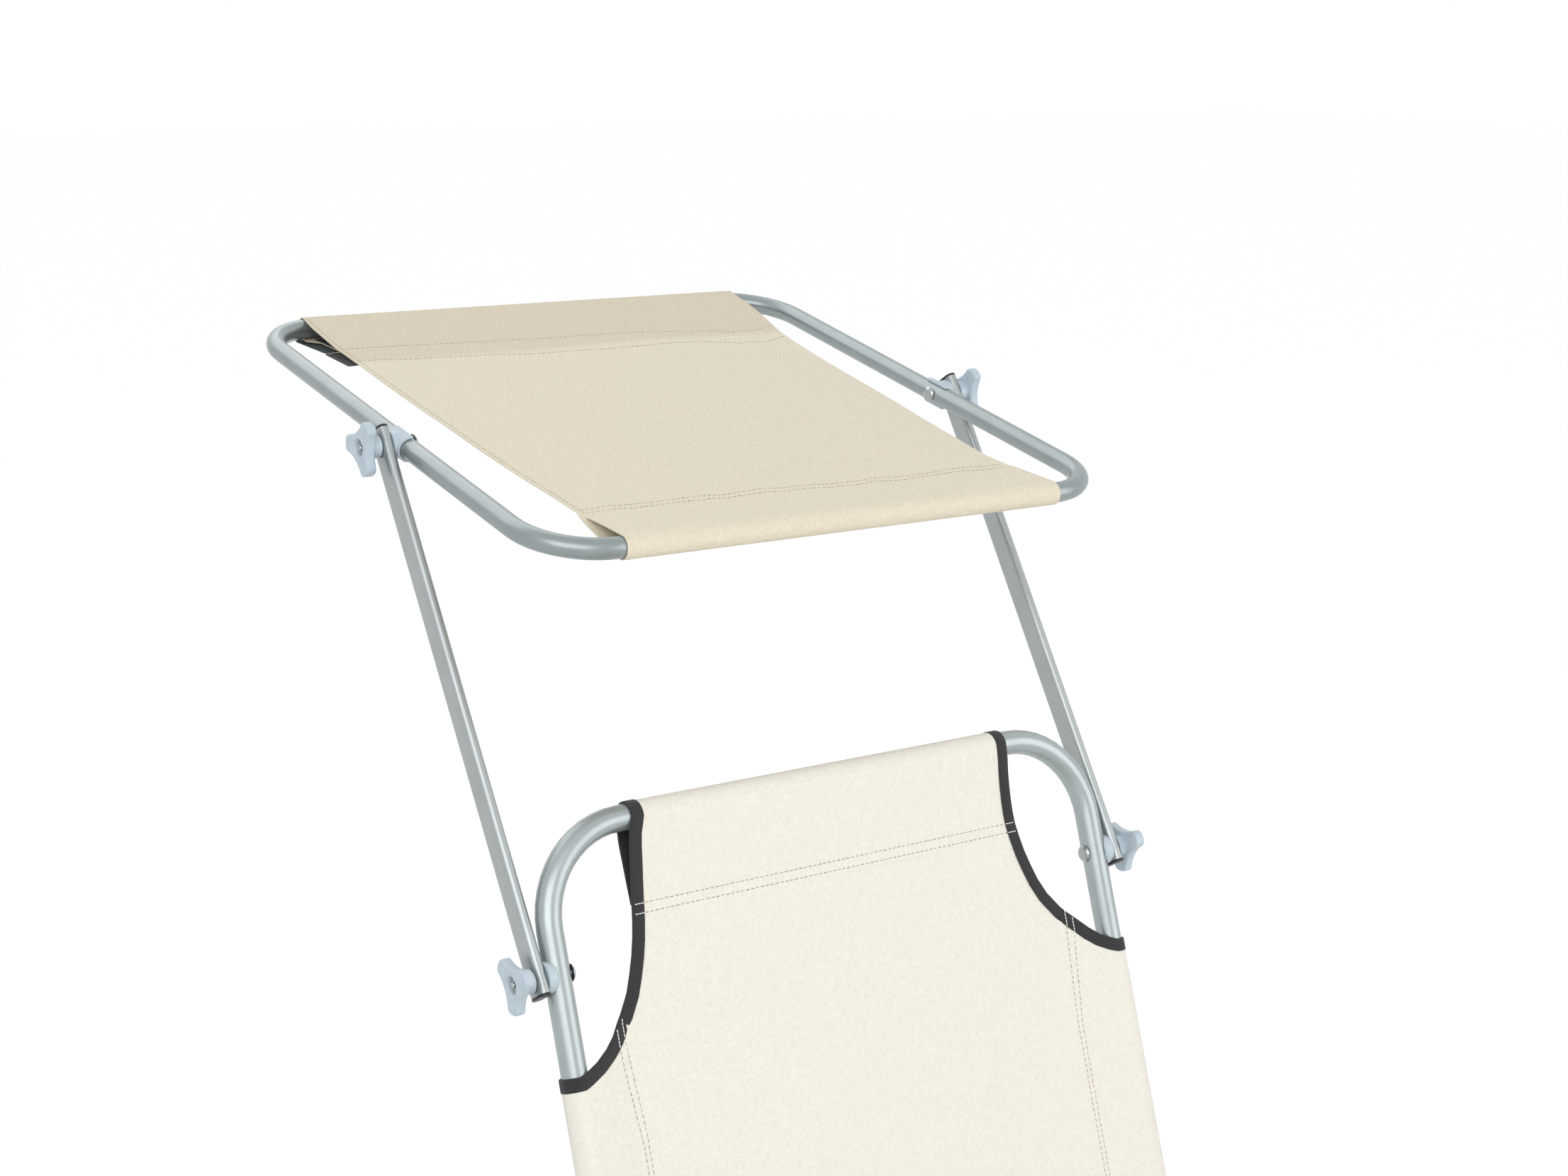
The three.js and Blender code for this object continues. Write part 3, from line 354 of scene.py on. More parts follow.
relief(painted_shade_sheet, grain(painted_shade_sheet, 900, detail=1.0), 0.0004)
print("tape, threads, pile and lining", 5)

# %% [markdown]
# ## Modelling by hand, in code
# The helpers below do what hands do in edit mode: draw a ring, extrude it, spin it round a
# bend, and settle the piece in its section. The first rule is to deselect everything, because
# an operator acts on all that is selected.

# %% Dress, settle and finish a piece


def deselect():
    if bpy.context.object and bpy.context.object.mode == "EDIT":
        bpy.ops.object.mode_set(mode="OBJECT")
    bpy.ops.object.select_all(action="DESELECT")


def take(piece):
    deselect()
    piece.select_set(True)
    bpy.context.view_layer.objects.active = piece


def edit():
    bpy.ops.object.mode_set(mode="EDIT")
    bpy.ops.mesh.select_all(action="SELECT")


def extrude(*step):
    bpy.ops.mesh.extrude_region_move(TRANSFORM_OT_translate={"value": step})


def face_outwards():
    bpy.ops.mesh.select_all(action="SELECT")
    bpy.ops.mesh.normals_make_consistent(inside=False)


def settle(name, place):
    """Closes edit mode, applies the piece's own place and carries its mesh to its section."""
    bpy.ops.object.mode_set(mode="OBJECT")
    piece = bpy.context.object
    bpy.ops.object.transform_apply(location=True, rotation=True, scale=True)
    piece.data.transform(place)
    piece.name = piece.data.name = name
    return piece


def modify(piece, kind, **settings):
    take(piece)
    modifier = piece.modifiers.new(kind.title(), kind)
    for key, value in settings.items():
        setattr(modifier, key, value)
    bpy.ops.object.modifier_apply(modifier=modifier.name)
    return piece


def soften_edges(piece, width, segments, angle):
    limits = {"limit_method": "ANGLE", "angle_limit": radians(angle)}
    return modify(piece, "BEVEL", width=width, segments=segments, **limits)


def smooth(piece, angle):
    take(piece)
    bpy.ops.object.shade_smooth_by_angle(angle=radians(angle))
    return piece


def new_piece(name, mesh):
    piece = bpy.data.objects.new(name, mesh)
    bpy.context.scene.collection.objects.link(piece)
    return piece


def piece_from(built, name, place=None):
    """Makes a bmesh a piece of the scene."""
    mesh = bpy.data.meshes.new(name)
    built.to_mesh(mesh)
    built.free()
    mesh.transform(place or Matrix())
    return new_piece(name, mesh)


def dress(piece, material, body, slot, *nodes):
    """Gives a piece its finish and its body, and hides the CAD nodes that it stands for. slot: not used."""
    piece.data.materials.clear()
    piece.data.materials.append(material)
    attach(piece, body)
    if nodes:
        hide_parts(*nodes)
    return piece

# %% [markdown]
# ## Tubes
# A bent tube is one ring of edges pushed along: extruded for a straight, spun for a bend.
# Spinning keeps the ring square to the bend and gives the even curve of a real tube bender.
# The wall comes last, so the open ends show their bore.

# %% A ring pushed along a path


def bent_tube(name, radius, start, facing, path, place):
    """path: straights as (dx, dy) and bends as (centre, angle), all in one plane."""
    deselect()
    ring = {"vertices": 40, "radius": radius, "location": (*start, 0), "rotation": facing}
    bpy.ops.mesh.primitive_circle_add(**ring)
    edit()
    for step in path:
        if isinstance(step[0], tuple):
            centre, angle = step
            bend = {"angle": radians(angle), "center": (*centre, 0), "axis": (0, 0, -1)}
            bpy.ops.mesh.spin(steps=12, **bend)
        else:
            extrude(*step, 0)
    bpy.ops.mesh.select_all(action="SELECT")
    bpy.ops.mesh.remove_doubles(threshold=0.00001)
    face_outwards()
    piece = settle(name, place)
    modify(piece, "SOLIDIFY", thickness=tube_wall, offset=-1)
    return smooth(piece, 50)


def u_tube(name, half, start_y, bar_y, bend, radius, place):
    """Two straights along +Y, joined over the far bar by two bends."""
    rise, inner = bar_y - bend - start_y, half - bend
    bends = [((x, bar_y - bend), -90) for x in (-inner, inner)]
    path = [(0, rise), bends[0], (2 * inner, 0), bends[1], (0, -rise)]
    return bent_tube(name, radius, (-half, start_y), (pi / 2, 0, 0), path, place)

# %% Frame, leg and cross tubes
tubes = {}
for body, bar_y, place in end_sections:
    ends = hinge_gap, bar_y
    tubes[body] = u_tube(f"{body}_tube", rail_x, *ends, main_bend, main_radius, place)
    dress(tubes[body], frame_coat, body, "frame_tube", f"{body}_frame")
leg_length = (rail_height - leg_drop - leg_radius - sole) / cos(radians(leg_lean))
for name, place in leg_places.items():
    leg = u_tube(f"{name}_tube", leg_x, -leg_stub, leg_length, leg_bend, leg_radius, place)
    dress(leg, frame_coat, name, "frame_tube", name)
for side, sign in both_sides:
    start, path = (sign * rail_x, -hinge_gap), [(0, hinge_gap * 2 - seat_length)]
    ring = main_radius, start, (pi / 2, 0, 0)
    rail = bent_tube(f"seat_rail_tube_{side}", *ring, path, seat_place)
    dress(rail, frame_coat, "seat", "frame_tube", f"seat_rail_{side}")
for end, y in (("back", -bar_inset), ("foot", -seat_length + bar_inset)):
    half = rail_x - main_radius - clear
    ring = bar_radius, (-half, y), (0, pi / 2, 0)
    bar = bent_tube(f"seat_crossbar_tube_{end}", *ring, [(2 * half, 0)], seat_place)
    dress(bar, frame_coat, "seat", "frame_tube", f"seat_crossbar_{end}")
print("back tube box", [round(v, 3) for v in tubes["back"].dimensions])

# %% The canopy's rounded loop
inner_x, joint = canopy_x - canopy_bend, 0.0004
front_y, rear_y = -canopy_front + canopy_bend, canopy_rear - canopy_bend
loop = [
    (inner_x - joint, 0), ((inner_x, front_y), 90),
    (0, rear_y - front_y), ((inner_x, rear_y), 90),
    (-2 * inner_x, 0), ((-inner_x, rear_y), 90),
    (0, front_y - rear_y), ((-inner_x, front_y), 90),
    (inner_x - joint, 0),
]
ring = canopy_radius, (joint, -canopy_front), (0, pi / 2, 0)
canopy_tube = bent_tube("canopy_tube", *ring, loop, canopy_place)
dress(canopy_tube, canopy_shaded_coat, "canopy", "frame_tube", "canopy_frame")
print("canopy tube box", [round(v, 3) for v in canopy_tube.dimensions])

# %% [markdown]
# ## Small hardware
# Plates, brackets, saddles, plugs and feet already have their right outlines in the model. A
# copy of each is merged, its flat faces are joined, and its edges get the small radius that
# stamping, moulding or tumbling leaves, because sharp edges catch no light.

# %% Soften copies of the model's pieces


def softened(node_name, edge, material, body, slot):
    piece = new_piece(node_name + "_soft", frame["nodes"][node_name].data.copy())
    piece.data.name = piece.name
    take(piece)
    edit()
    bpy.ops.mesh.remove_doubles(threshold=0.00002)
    bpy.ops.mesh.dissolve_limited(angle_limit=radians(1))
    bpy.ops.object.mode_set(mode="OBJECT")
    soften_edges(piece, edge, 2, 42)
    smooth(piece, 38)
    return dress(piece, material, body, slot, node_name)


bodies = frame["record"]["behaviour"]["bodies"]
body_of_node = {name: body for body, members in bodies.items() for name in members}
kinds = {
    "plate": (0.0005, zinc_plate, "zinc_steel"),
    "pawl": (0.0004, zinc_plate, "zinc_steel"),
    "bracket": (0.0005, zinc_plate, "zinc_steel"),
    "rivet": (0.0006, zinc_plate, "zinc_steel"),
    "plug": (0.0005, black_plastic, "black_plastic"),
    "_foot_": (0.0007, black_plastic, "black_plastic"),
    "upper_saddle": (0.0006, knob_plastic, "grey_plastic"),
}
softened_count = 0
for node_name in sorted(frame["nodes"]):
    kind = next((word for word in kinds if word in node_name), None)
    if kind:
        edge, material, slot = kinds[kind]
        softened(node_name, edge, material, body_of_node[node_name], slot)
        softened_count += 1
softened("canopy_frame_joiner", 0.0004, black_plastic, "canopy", "black_plastic")
print("softened pieces", softened_count + 1)

# %% [markdown]
# ## Arms
# Each arm is a round tube rolled flat. So a circle is split in two halves, the halves are
# pulled apart, and the outline is extruded along the arm. The wall comes next, and then the
# two bolt holes, cut with a boolean so that the bolts turn free in them.

# %% Turned shapes, booleans and the arms


def turned(name, rings, place, points=40):
    """A closed turned piece about X: rings are (radius, x) from one end to the other."""
    deselect()
    (radius, at), *rest = rings
    disc = {"vertices": points, "radius": radius, "location": (0, 0, at)}
    bpy.ops.mesh.primitive_circle_add(fill_type="NGON", **disc)
    edit()
    for next_radius, next_at in rest:
        extrude(0, 0, next_at - at)
        scale = next_radius / radius
        bpy.ops.transform.resize(value=(scale, scale, 1), center_override=(0, 0, next_at))
        radius, at = next_radius, next_at
    face_outwards()
    return settle(name, place @ turn(90, "Y"))


def boolean(piece, other, operation):
    modify(piece, "BOOLEAN", object=other, operation=operation, solver="EXACT")
    bpy.data.objects.remove(other)
    return piece


def drill(radius, half_length, place, points):
    """A rod about X that a boolean takes away."""
    return turned("drill", [(radius, -half_length), (radius, half_length)], place, points)


def flat_arm(side, sign):
    deselect()
    points = 48
    ring = {"vertices": points, "radius": arm_thick / 2, "rotation": (0, 0, pi / points)}
    bpy.ops.mesh.primitive_circle_add(location=(0, 0, 0), **ring)
    bpy.ops.object.transform_apply()
    edit()
    for half in (-1, 1):
        bpy.ops.mesh.select_all(action="DESELECT")
        bpy.ops.object.mode_set(mode="OBJECT")
        for vertex in bpy.context.object.data.vertices:
            vertex.select = vertex.co.y * half > 0
        bpy.ops.object.mode_set(mode="EDIT")
        bpy.ops.transform.translate(value=(0, half * (arm_width - arm_thick) / 2, 0))
    bpy.ops.mesh.select_all(action="SELECT")
    extrude(0, 0, arm_pitch + 2 * arm_over)
    face_outwards()
    piece = settle(f"arm_tube_{side}", shift(sign * arm_x, -arm_over, 0) @ turn(-90, "X"))
    modify(piece, "SOLIDIFY", thickness=tube_wall, offset=-1)
    for at in (0, arm_pitch):
        boolean(piece, drill(bolt_bore, 0.01, shift(sign * arm_x, at, 0), 20), "DIFFERENCE")
    piece.data.transform(arm_place)
    return smooth(piece, 40)


for side, sign in both_sides:
    dress(flat_arm(side, sign), arm_coat, "canopy_arms", "arm_tube", f"arm_{side}")
print("arms", 2)

# %% [markdown]
# ## Bolts
# Each joint has a domed bolt: its polished head sits against the inside of the tube, its
# shank runs through saddle and arm, and its end shows bright in the knob's recess. It is
# turned work, so rings of changing radius give it: dome, shank, nut and chamfered tip.

# %% Domed bolts
knob_depth = 0.018
face_x = arm_x + arm_thick / 2 + clear + knob_depth
dome = [(0.0008, -0.0036), (0.0030, -0.0034), (0.0052, -0.0027), (0.0068, -0.0016)]
dome += [(0.0077, -0.0005), (0.0077, 0), (0.003, 0)]
nut_and_tip = [
    (0.003, 0.0047), (0.0044, 0.0047), (0.0046, 0.0043), (0.0046, 0.0028),
    (0.0040, 0.0025), (0.0030, 0.0025), (0.0030, 0.0014), (0.0024, 0.0008),
]


def bolt(name, sign, head_x, place, body, node_name):
    rings = [(radius, head_x + x) for radius, x in dome]
    rings += [(radius, face_x - back) for radius, back in nut_and_tip]
    piece = smooth(turned(name, rings, place @ to_side(sign), 32), 45)
    return dress(piece, zinc_plate, body, "zinc_steel", node_name)


for side, sign in both_sides:
    for level, head_x, place, body in (
        ("lower", rail_x - main_radius - clear, lower_place, "back"),
        ("upper", canopy_x - canopy_radius - clear, canopy_place, "canopy"),
    ):
        bolt(f"{level}_domed_bolt_{side}", sign, head_x, place, body, f"{level}_bolt_{side}")
print("bolts", 4)

# %% [markdown]
# ## Knobs
# The clamping knobs have three broad lobes with hollow flanks, so that thumb and two fingers
# find them. A filled circle of many points is pulled into that outline, extruded to its
# thickness and beveled all round. A turned hub is joined to its back, and a countersunk
# recess is cut into its face.

# %% Three-lobed knobs
lobe_outline = [
    (0, 0.0250), (7, 0.0249), (12.7, 0.0244), (17.9, 0.0232), (20.7, 0.0214),
    (25.1, 0.0188), (31.9, 0.0165), (41.7, 0.0147), (52.3, 0.0139), (60, 0.0137),
]
knob_thick = 0.009
hub_rings = [(0.0097, -0.0087), (0.010, -0.0084), (0.010, 0.003)]
recess_rings = [
    (bolt_bore, -0.012), (bolt_bore, 0.0040), (0.0070, 0.0041),
    (0.0072, 0.0079), (0.0084, 0.0092), (0.0084, 0.012),
]


def lobe_reach(angle):
    """The outline's radius: lobes with blunt tips, and hollow flanks between them."""
    off = abs(degrees((angle + pi / 3) % (2 * pi / 3) - pi / 3))
    return read_table(lobe_outline, off)[0]


def knob(name, sign, turned_by, place, node_name):
    deselect()
    disc = {"vertices": 120, "radius": 0.01, "location": (0, 0, 0)}
    bpy.ops.mesh.primitive_circle_add(fill_type="NGON", **disc)
    for vertex in bpy.context.object.data.vertices:
        angle = atan2(vertex.co.y, vertex.co.x)
        vertex.co = Vector((cos(angle), sin(angle), 0)) * lobe_reach(angle)
    edit()
    extrude(0, 0, knob_thick)
    face_outwards()
    piece = settle(name, turn(-90, "Z"))
    soften_edges(piece, 0.0019, 4, 60)
    boolean(piece, turned("hub", hub_rings, turn(-90, "Y"), 48), "UNION")
    boolean(piece, turned("recess", recess_rings, turn(-90, "Y"), 48), "DIFFERENCE")
    smooth(piece, 40)
    stand = place @ to_side(sign) @ shift(face_x - knob_thick, 0, 0)
    upright = turn(sign * turned_by, "X") @ turn(90, "Z") @ turn(90, "X")
    piece.data.transform(stand @ upright)
    return dress(piece, knob_plastic, node_name, "grey_plastic", node_name)


for side, sign in both_sides:
    for level, turned_by, place in (
        ("lower", -1 - back_angle, lower_place),
        ("upper", -26 - canopy_angle, canopy_place),
    ):
        knob(f"{level}_clamp_knob_{side}", sign, turned_by, place, f"{level}_knob_{side}")
print("knobs", 4)

# %% [markdown]
# ## Lower saddles
# Between arm and rail stands a round boss. It is turned with a soft nose, and then the rail's
# own round and the bolt's hole are cut out of it, so that two short lips lie on the rail.

# %% Round saddles coped on the rails
saddle_rings = [
    (0.0112, 0.0045), (0.0122, 0.0051), (0.0129, 0.0061), (0.0133, 0.0075),
    (0.0135, 0.0095), (0.0135, 0.0132), (0.0133, 0.01365), (0.0129, 0.01395),
]
for side, sign in both_sides:
    outward = to_side(sign)
    rings = [(radius, rail_x + x) for radius, x in saddle_rings]
    boss = turned(f"lower_round_saddle_{side}", rings, outward, 64)
    along_rail = outward @ shift(rail_x, 0, 0) @ turn(90, "Z")
    boolean(boss, drill(main_radius + clear, 0.03, along_rail, 64), "DIFFERENCE")
    boolean(boss, drill(bolt_bore, 0.32, Matrix(), 24), "DIFFERENCE")
    smooth(boss, 35)
    boss.data.transform(lower_place)
    dress(boss, knob_plastic, "back", "grey_plastic", f"lower_saddle_{side}")
print("lower saddles", 2)

# %% [markdown]
# ## The bed's cloth
# The sling is a flat sheet with a sleeve sewn along each side and over the end bar. A sheet
# is best made as a grid of points that follows the sewing pattern: rows along the section,
# columns across it. The sleeves continue the same grid round the tubes and back under the
# sheet to the seam. Slight slack between the rails and puckers at the seams keep it from
# looking like board.

# %% Grids of cloth


def unit(value):
    """A value held between 0 and 1."""
    return max(0.0, min(1.0, value))


def spread(low, high, pitch):
    count = max(1, round((high - low) / pitch))
    return [low + (high - low) * i / count for i in range(count + 1)]


def sleeve_outline(centre, radius, stitch, hem, sheet, steps=16):
    """Cloth from a tube's top, round it and back under the sheet, as (a, z) pairs."""
    under = 2 * cloth
    reach = hypot(stitch - centre, sheet(stitch) - under)
    lift = atan2(sheet(stitch) - under, stitch - centre)
    leave = lift + acos(radius / reach) - 2 * pi
    points = []
    for i in range(1, steps + 1):
        angle = pi / 2 + (leave - pi / 2) * i / steps
        points.append((centre + radius * cos(angle), radius * sin(angle)))
    last = Vector(points[-1])
    seam = Vector((stitch, sheet(stitch) - under))
    points += [tuple(last.lerp(seam, i / 8)) for i in range(1, 9)]
    points.append((stitch - hem, sheet(stitch - hem) - under))
    return points


def lengths_along(points, start=0.0):
    """Distance along a run of points, as the cloth's own map measures it."""
    found = [start]
    for before, after in zip(points, points[1:]):
        found.append(found[-1] + (Vector(after) - Vector(before)).length)
    return found


def cloth_piece(name, patches, place):
    """patches: grids of (point, (u, v)) rows, joined into one sheet and given thickness."""
    built = bmesh.new()
    layer = built.loops.layers.uv.new("weave")
    for grid, keep in patches:
        rows = [[(built.verts.new(point), uv) for point, uv in row] for row in grid]
        for low, high in zip(rows, rows[1:]):
            for corners in zip(low, low[1:], high[1:], high):
                if keep(sum((v.co for v, _ in corners), Vector()) / 4):
                    face = built.faces.new([v for v, _ in corners])
                    for loop, (_, uv) in zip(face.loops, corners):
                        loop[layer].uv = uv
    bmesh.ops.remove_doubles(built, verts=built.verts, dist=0.00002)
    built.verts.ensure_lookup_table()
    loose = [v for v in built.verts if not v.link_faces]
    bmesh.ops.delete(built, geom=loose, context="VERTS")
    flat_area = sum(face.calc_area() for face in built.faces)
    piece = piece_from(built, name)
    modify(piece, "SOLIDIFY", thickness=0.0010, offset=-1)
    piece.data.transform(place)
    return smooth(piece, 60), flat_area

# %% Outline of a section with cut-out shoulders
shoulder_table = [
    (0.1140, 0.1965, 0.0015), (0.0998, 0.1985, 0.0035), (0.0877, 0.1988, 0.0046),
    (0.0755, 0.1991, 0.0051), (0.0630, 0.1998, 0.0055), (0.0515, 0.2006, 0.0055),
    (0.0400, 0.2018, 0.0052), (0.0285, 0.2036, 0.0051), (0.0150, 0.2064, 0.0050),
    (0.0015, 0.2103, 0.0047), (-0.0124, 0.2152, 0.0045), (-0.0267, 0.2218, 0.0035),
    (-0.0420, 0.2325, 0.0018), (-0.0580, 0.2467, -0.0012), (-0.0660, 0.2550, -0.0012),
    (-0.0740, 0.2660, -0.0006), (-0.0798, 0.2780, 0.0), (-0.0820, 0.2840, 0.0),
]
sheet_top = sleeve_radius = main_radius + clear + cloth
seam_in, hem_in, sheet_low = 0.048, 0.012, 0.0030
top_seams, shoulder_foot, sleeve_start, narrow_half = (0.071, 0.079), 0.195, 0.075, 0.250


def cut_out(from_bar):
    """Half the sheet's width at a distance back from the end bar, and its lean to the left."""
    return read_table(shoulder_table, bar_rise - from_bar)


def side_edge(sign, from_bar):
    """Where the sheet's edge lies on one side."""
    half, lean = cut_out(from_bar)
    return sign * half - lean


def draped(distance, reach):
    """Height of cloth over a tube's top, drawn straight down to its seam at that reach."""
    leave = atan2(sheet_low, reach) + acos(sleeve_radius / hypot(reach, sheet_low))
    edge = sleeve_radius * cos(leave)
    if distance <= edge:
        return (sleeve_radius**2 - max(distance, 0.0) ** 2) ** 0.5
    share = min(1.0, (distance - edge) / (reach - edge))
    return sleeve_radius * sin(leave) * (1 - share) + sheet_low * share


def sheet_height(x, y, bar_y):
    """An end section's cloth: level at the hinge, then drawn down between its three tubes."""
    over_bar = draped(bar_y - y, top_seams[0])
    drawn = max(draped(rail_x - abs(x), seam_in), over_bar, sheet_low)
    share = unit((y - 0.010) / 0.110)
    return sheet_top + (drawn - sheet_top) * share * share * (3 - 2 * share)


def slack(x, y, length, seed):
    """How far the sheet lies low: a shallow sag, seam puckers and slow waves."""
    across = max(0.0, 1 - (x / rail_x) ** 2)
    along = max(0.0, sin(pi * unit(y / length)))
    sag = 0.0035 * across * along**0.5
    slow = noise.noise(Vector((x * 9 + seed, y * 7, seed))) * 0.0012 * across
    pucker = noise.noise(Vector((x * 30, y * 85, seed + 5))) * 0.0005
    near_seam = max(0.0, 1 - abs(abs(x) - 0.236) / 0.030)
    return sag + slow + pucker * near_seam


print("sheet's half-width at the bar", cut_out(0)[0])

# %% [markdown]
# The panel's columns run from edge to edge, so they close in where the shoulders are cut. The
# side sleeves start above the hinge and end at the shoulder's foot. A window in each keeps the
# cloth off the leg's bracket.

# %% Sleeves and panels of the bed


def side_sleeves(rows_y, windows, height):
    """height(a, y) is the sheet's own. A window opens from the rail's middle inwards."""
    patches = []
    for sign in (-1, 1):
        grid = []
        for y in rows_y:
            stitch = rail_x - seam_in
            outline = [(rail_x, sheet_top)]
            outline += sleeve_outline(rail_x, sleeve_radius, stitch, hem_in, lambda a: height(a, y))
            order = list(zip(outline, lengths_along(outline, rail_x)))
            if sign < 0:
                order.reverse()
            grid.append([(Vector((sign * a, y, z)), (sign * s, y)) for (a, z), s in order])

        def keep(middle):
            near = any(abs(middle.y - at) < 0.021 for at in windows)
            return not (near and abs(middle.x) < rail_x - 0.002 and middle.z < 0.0085)

        patches.append((grid, keep))
    return patches


def everywhere(middle):
    """Keeps every face of a grid."""
    return True


def dropped(q):
    """Share of the sag at a share q of the panel's half-width: none at its edges."""
    return 1 - abs(q) ** 6


def section_rows(bar_y, pivot_y):
    """Rows along an end section: closer by the leg's pivot and where the outline bends."""
    sleeve_end = bar_y - shoulder_foot
    rows = [0.0003, 0.012, 0.025, 0.04, 0.055, 0.070, sleeve_start - 0.0002]
    rows += [sleeve_start + 0.0002, *spread(0.080, pivot_y - 0.021, 0.008)]
    if pivot_y < sleeve_end:
        rows += spread(pivot_y - 0.021, pivot_y + 0.021, 0.006)[1:]
        rows += spread(pivot_y + 0.021, sleeve_end, 0.007)[1:]
    else:
        rows = [y for y in rows if y < sleeve_end - 0.004] + [sleeve_end]
    rows += [bar_y - bar_rise + row[0] for row in shoulder_table[:-1]]
    rows += spread(bar_y - 0.190, bar_y - 0.12, 0.004) + spread(bar_y - 0.12, bar_y, 0.0075)
    rows = sorted(set(rows))
    return [y for i, y in enumerate(rows) if i == 0 or y - rows[i - 1] > 0.0003]


def end_section_cloth(name, bar_y, pivot_y, place, seed):
    rows_y = section_rows(bar_y, pivot_y)
    columns = spread(-1, 1, 0.022)
    grid = []
    for y in rows_y:
        half, lean = cut_out(bar_y - y)
        half = narrow_half if y < sleeve_start else min(rail_x, half)
        settle_in = min(1.0, (bar_y - y) / 0.05)
        row = []
        for q in columns:
            x = q * half - lean
            drop = slack(x, y, bar_y, seed) * settle_in * dropped(q)
            row.append((Vector((x, y, sheet_height(x, y, bar_y) - drop)), (x, y)))
        grid.append(row)
    profile = lambda a: sheet_height(0, a, bar_y)
    wrap = sleeve_outline(bar_y, sleeve_radius, bar_y - top_seams[0], hem_in, profile, 20)
    wrap_lengths = lengths_along([(bar_y, sheet_top), *wrap], bar_y)[1:]
    for (y, z), v in zip(wrap, wrap_lengths):
        half, lean = cut_out(bar_y - min(y, bar_y))
        grid.append([(Vector((q * half - lean, y, z)), (q * half, v)) for q in columns])
    sleeve_end = bar_y - shoulder_foot
    sleeve_rows = [y for y in rows_y if sleeve_start < y <= sleeve_end + 0.0001]
    windows = [pivot_y] if pivot_y < sleeve_end else []
    sleeves = side_sleeves(sleeve_rows, windows, lambda a, y: sheet_height(a, y, bar_y))
    return cloth_piece(name, [(grid, everywhere), *sleeves], place)


slings, areas = {}, {}
for (body, bar_y, place), pivot_y, seed in zip(end_sections, (head_pivot, foot_pivot), (1.0, 2.0)):
    sling, areas[body] = end_section_cloth(f"{body}_sling", bar_y, pivot_y, place, seed)
    slings[body] = dress(sling, sling_cloth, body, "sling_cloth", f"{body}_fabric")
print("cloth in square metres", {body: round(area, 4) for body, area in areas.items()})

# %% The seat's cloth, straight between its hinges
first_row, last_row = sleeve_start - seat_length, -sleeve_start
rows_y = [-seat_length + 0.0003, -0.625, -0.610, -0.595, -0.580]
rows_y += [first_row - 0.0006, first_row - 0.0002, *spread(-0.560, -0.171, 0.008)]
rows_y += spread(-0.171, -0.129, 0.006)[1:] + spread(-0.129, last_row - 0.0002, 0.007)[1:]
rows_y += [last_row + 0.0002, -0.06, -0.045, -0.03, -0.015, -0.0003]
sleeve_rows = [y for y in rows_y if first_row - 0.0003 < y < last_row - 0.0001]
seat_grid = []
for y in rows_y:
    half = rail_x if y in sleeve_rows else narrow_half
    row = []
    for q in spread(-1, 1, 0.022):
        drop = slack(q * half, y + seat_length, seat_length, 3.0) * dropped(q)
        row.append((Vector((q * half, y, sheet_top - drop)), (q * half, y)))
    seat_grid.append(row)
sleeves = side_sleeves(sleeve_rows, [middle_pivot], lambda a, y: sheet_top)
seat_sling, seat_area = cloth_piece("seat_sling", [(seat_grid, everywhere), *sleeves], seat_place)
dress(seat_sling, sling_cloth, "seat", "sling_cloth", "seat_fabric")
print("seat cloth", round(seat_area, 4), "square metres")

# %% [markdown]
# ## The roof's cloth
# The canopy's cloth is one strip. It starts at a hem under the rear, goes round the rear bar,
# forward over the top with a gentle sag, round the front bar and back to a hem under the
# front. Its sides are cut straight, but tension draws them in between the bars and lets them
# flare at the sleeves, a little differently on each side.

# %% Shape of the roof cloth
roof_radius = canopy_radius + clear + cloth
roof_span, roof_sag = canopy_front + canopy_rear, 0.008
front_seam, flap_half = -0.198, 0.2290
left_edge = [
    (0.3125, 0.2368), (0.303, 0.2374), (0.278, 0.2396), (0.245, 0.2400), (0.2255, 0.2402),
    (0.203, 0.2385), (0.182, 0.2368), (0.161, 0.2360), (0.139, 0.2355), (0.117, 0.2345),
    (0.074, 0.2332), (0.030, 0.2310), (-0.035, 0.2303), (-0.078, 0.2293), (-0.121, 0.2280),
    (-0.164, 0.2266), (-0.190, 0.2262), (-0.2014, 0.2256), (-0.2177, 0.2241),
    (-0.2339, 0.2228), (-0.250, 0.2216), (-0.264, 0.2212),
]
right_edge = [
    (0.3125, 0.2435), (0.290, 0.2425), (0.262, 0.2410), (0.240, 0.2385), (0.218, 0.2347),
    (0.194, 0.2303), (0.169, 0.2280), (0.145, 0.2268), (0.120, 0.2256), (0.096, 0.2242),
    (0.046, 0.2222), (-0.003, 0.2202), (-0.0275, 0.2192), (-0.052, 0.2174), (-0.101, 0.2146),
    (-0.128, 0.2130), (-0.152, 0.2115), (-0.174, 0.2103), (-0.199, 0.2108), (-0.215, 0.2150),
    (-0.227, 0.2190), (-0.240, 0.2220), (-0.251, 0.2235), (-0.264, 0.2240),
]


def roof_half(q, v):
    """Half-width of the top at v: left of the middle for a negative q, else right."""
    return read_table(left_edge if q < 0 else right_edge, v)[0]


def roof_sheet(v):
    share = (v + canopy_front) / roof_span
    return roof_radius - 4 * roof_sag * share * (1 - share)


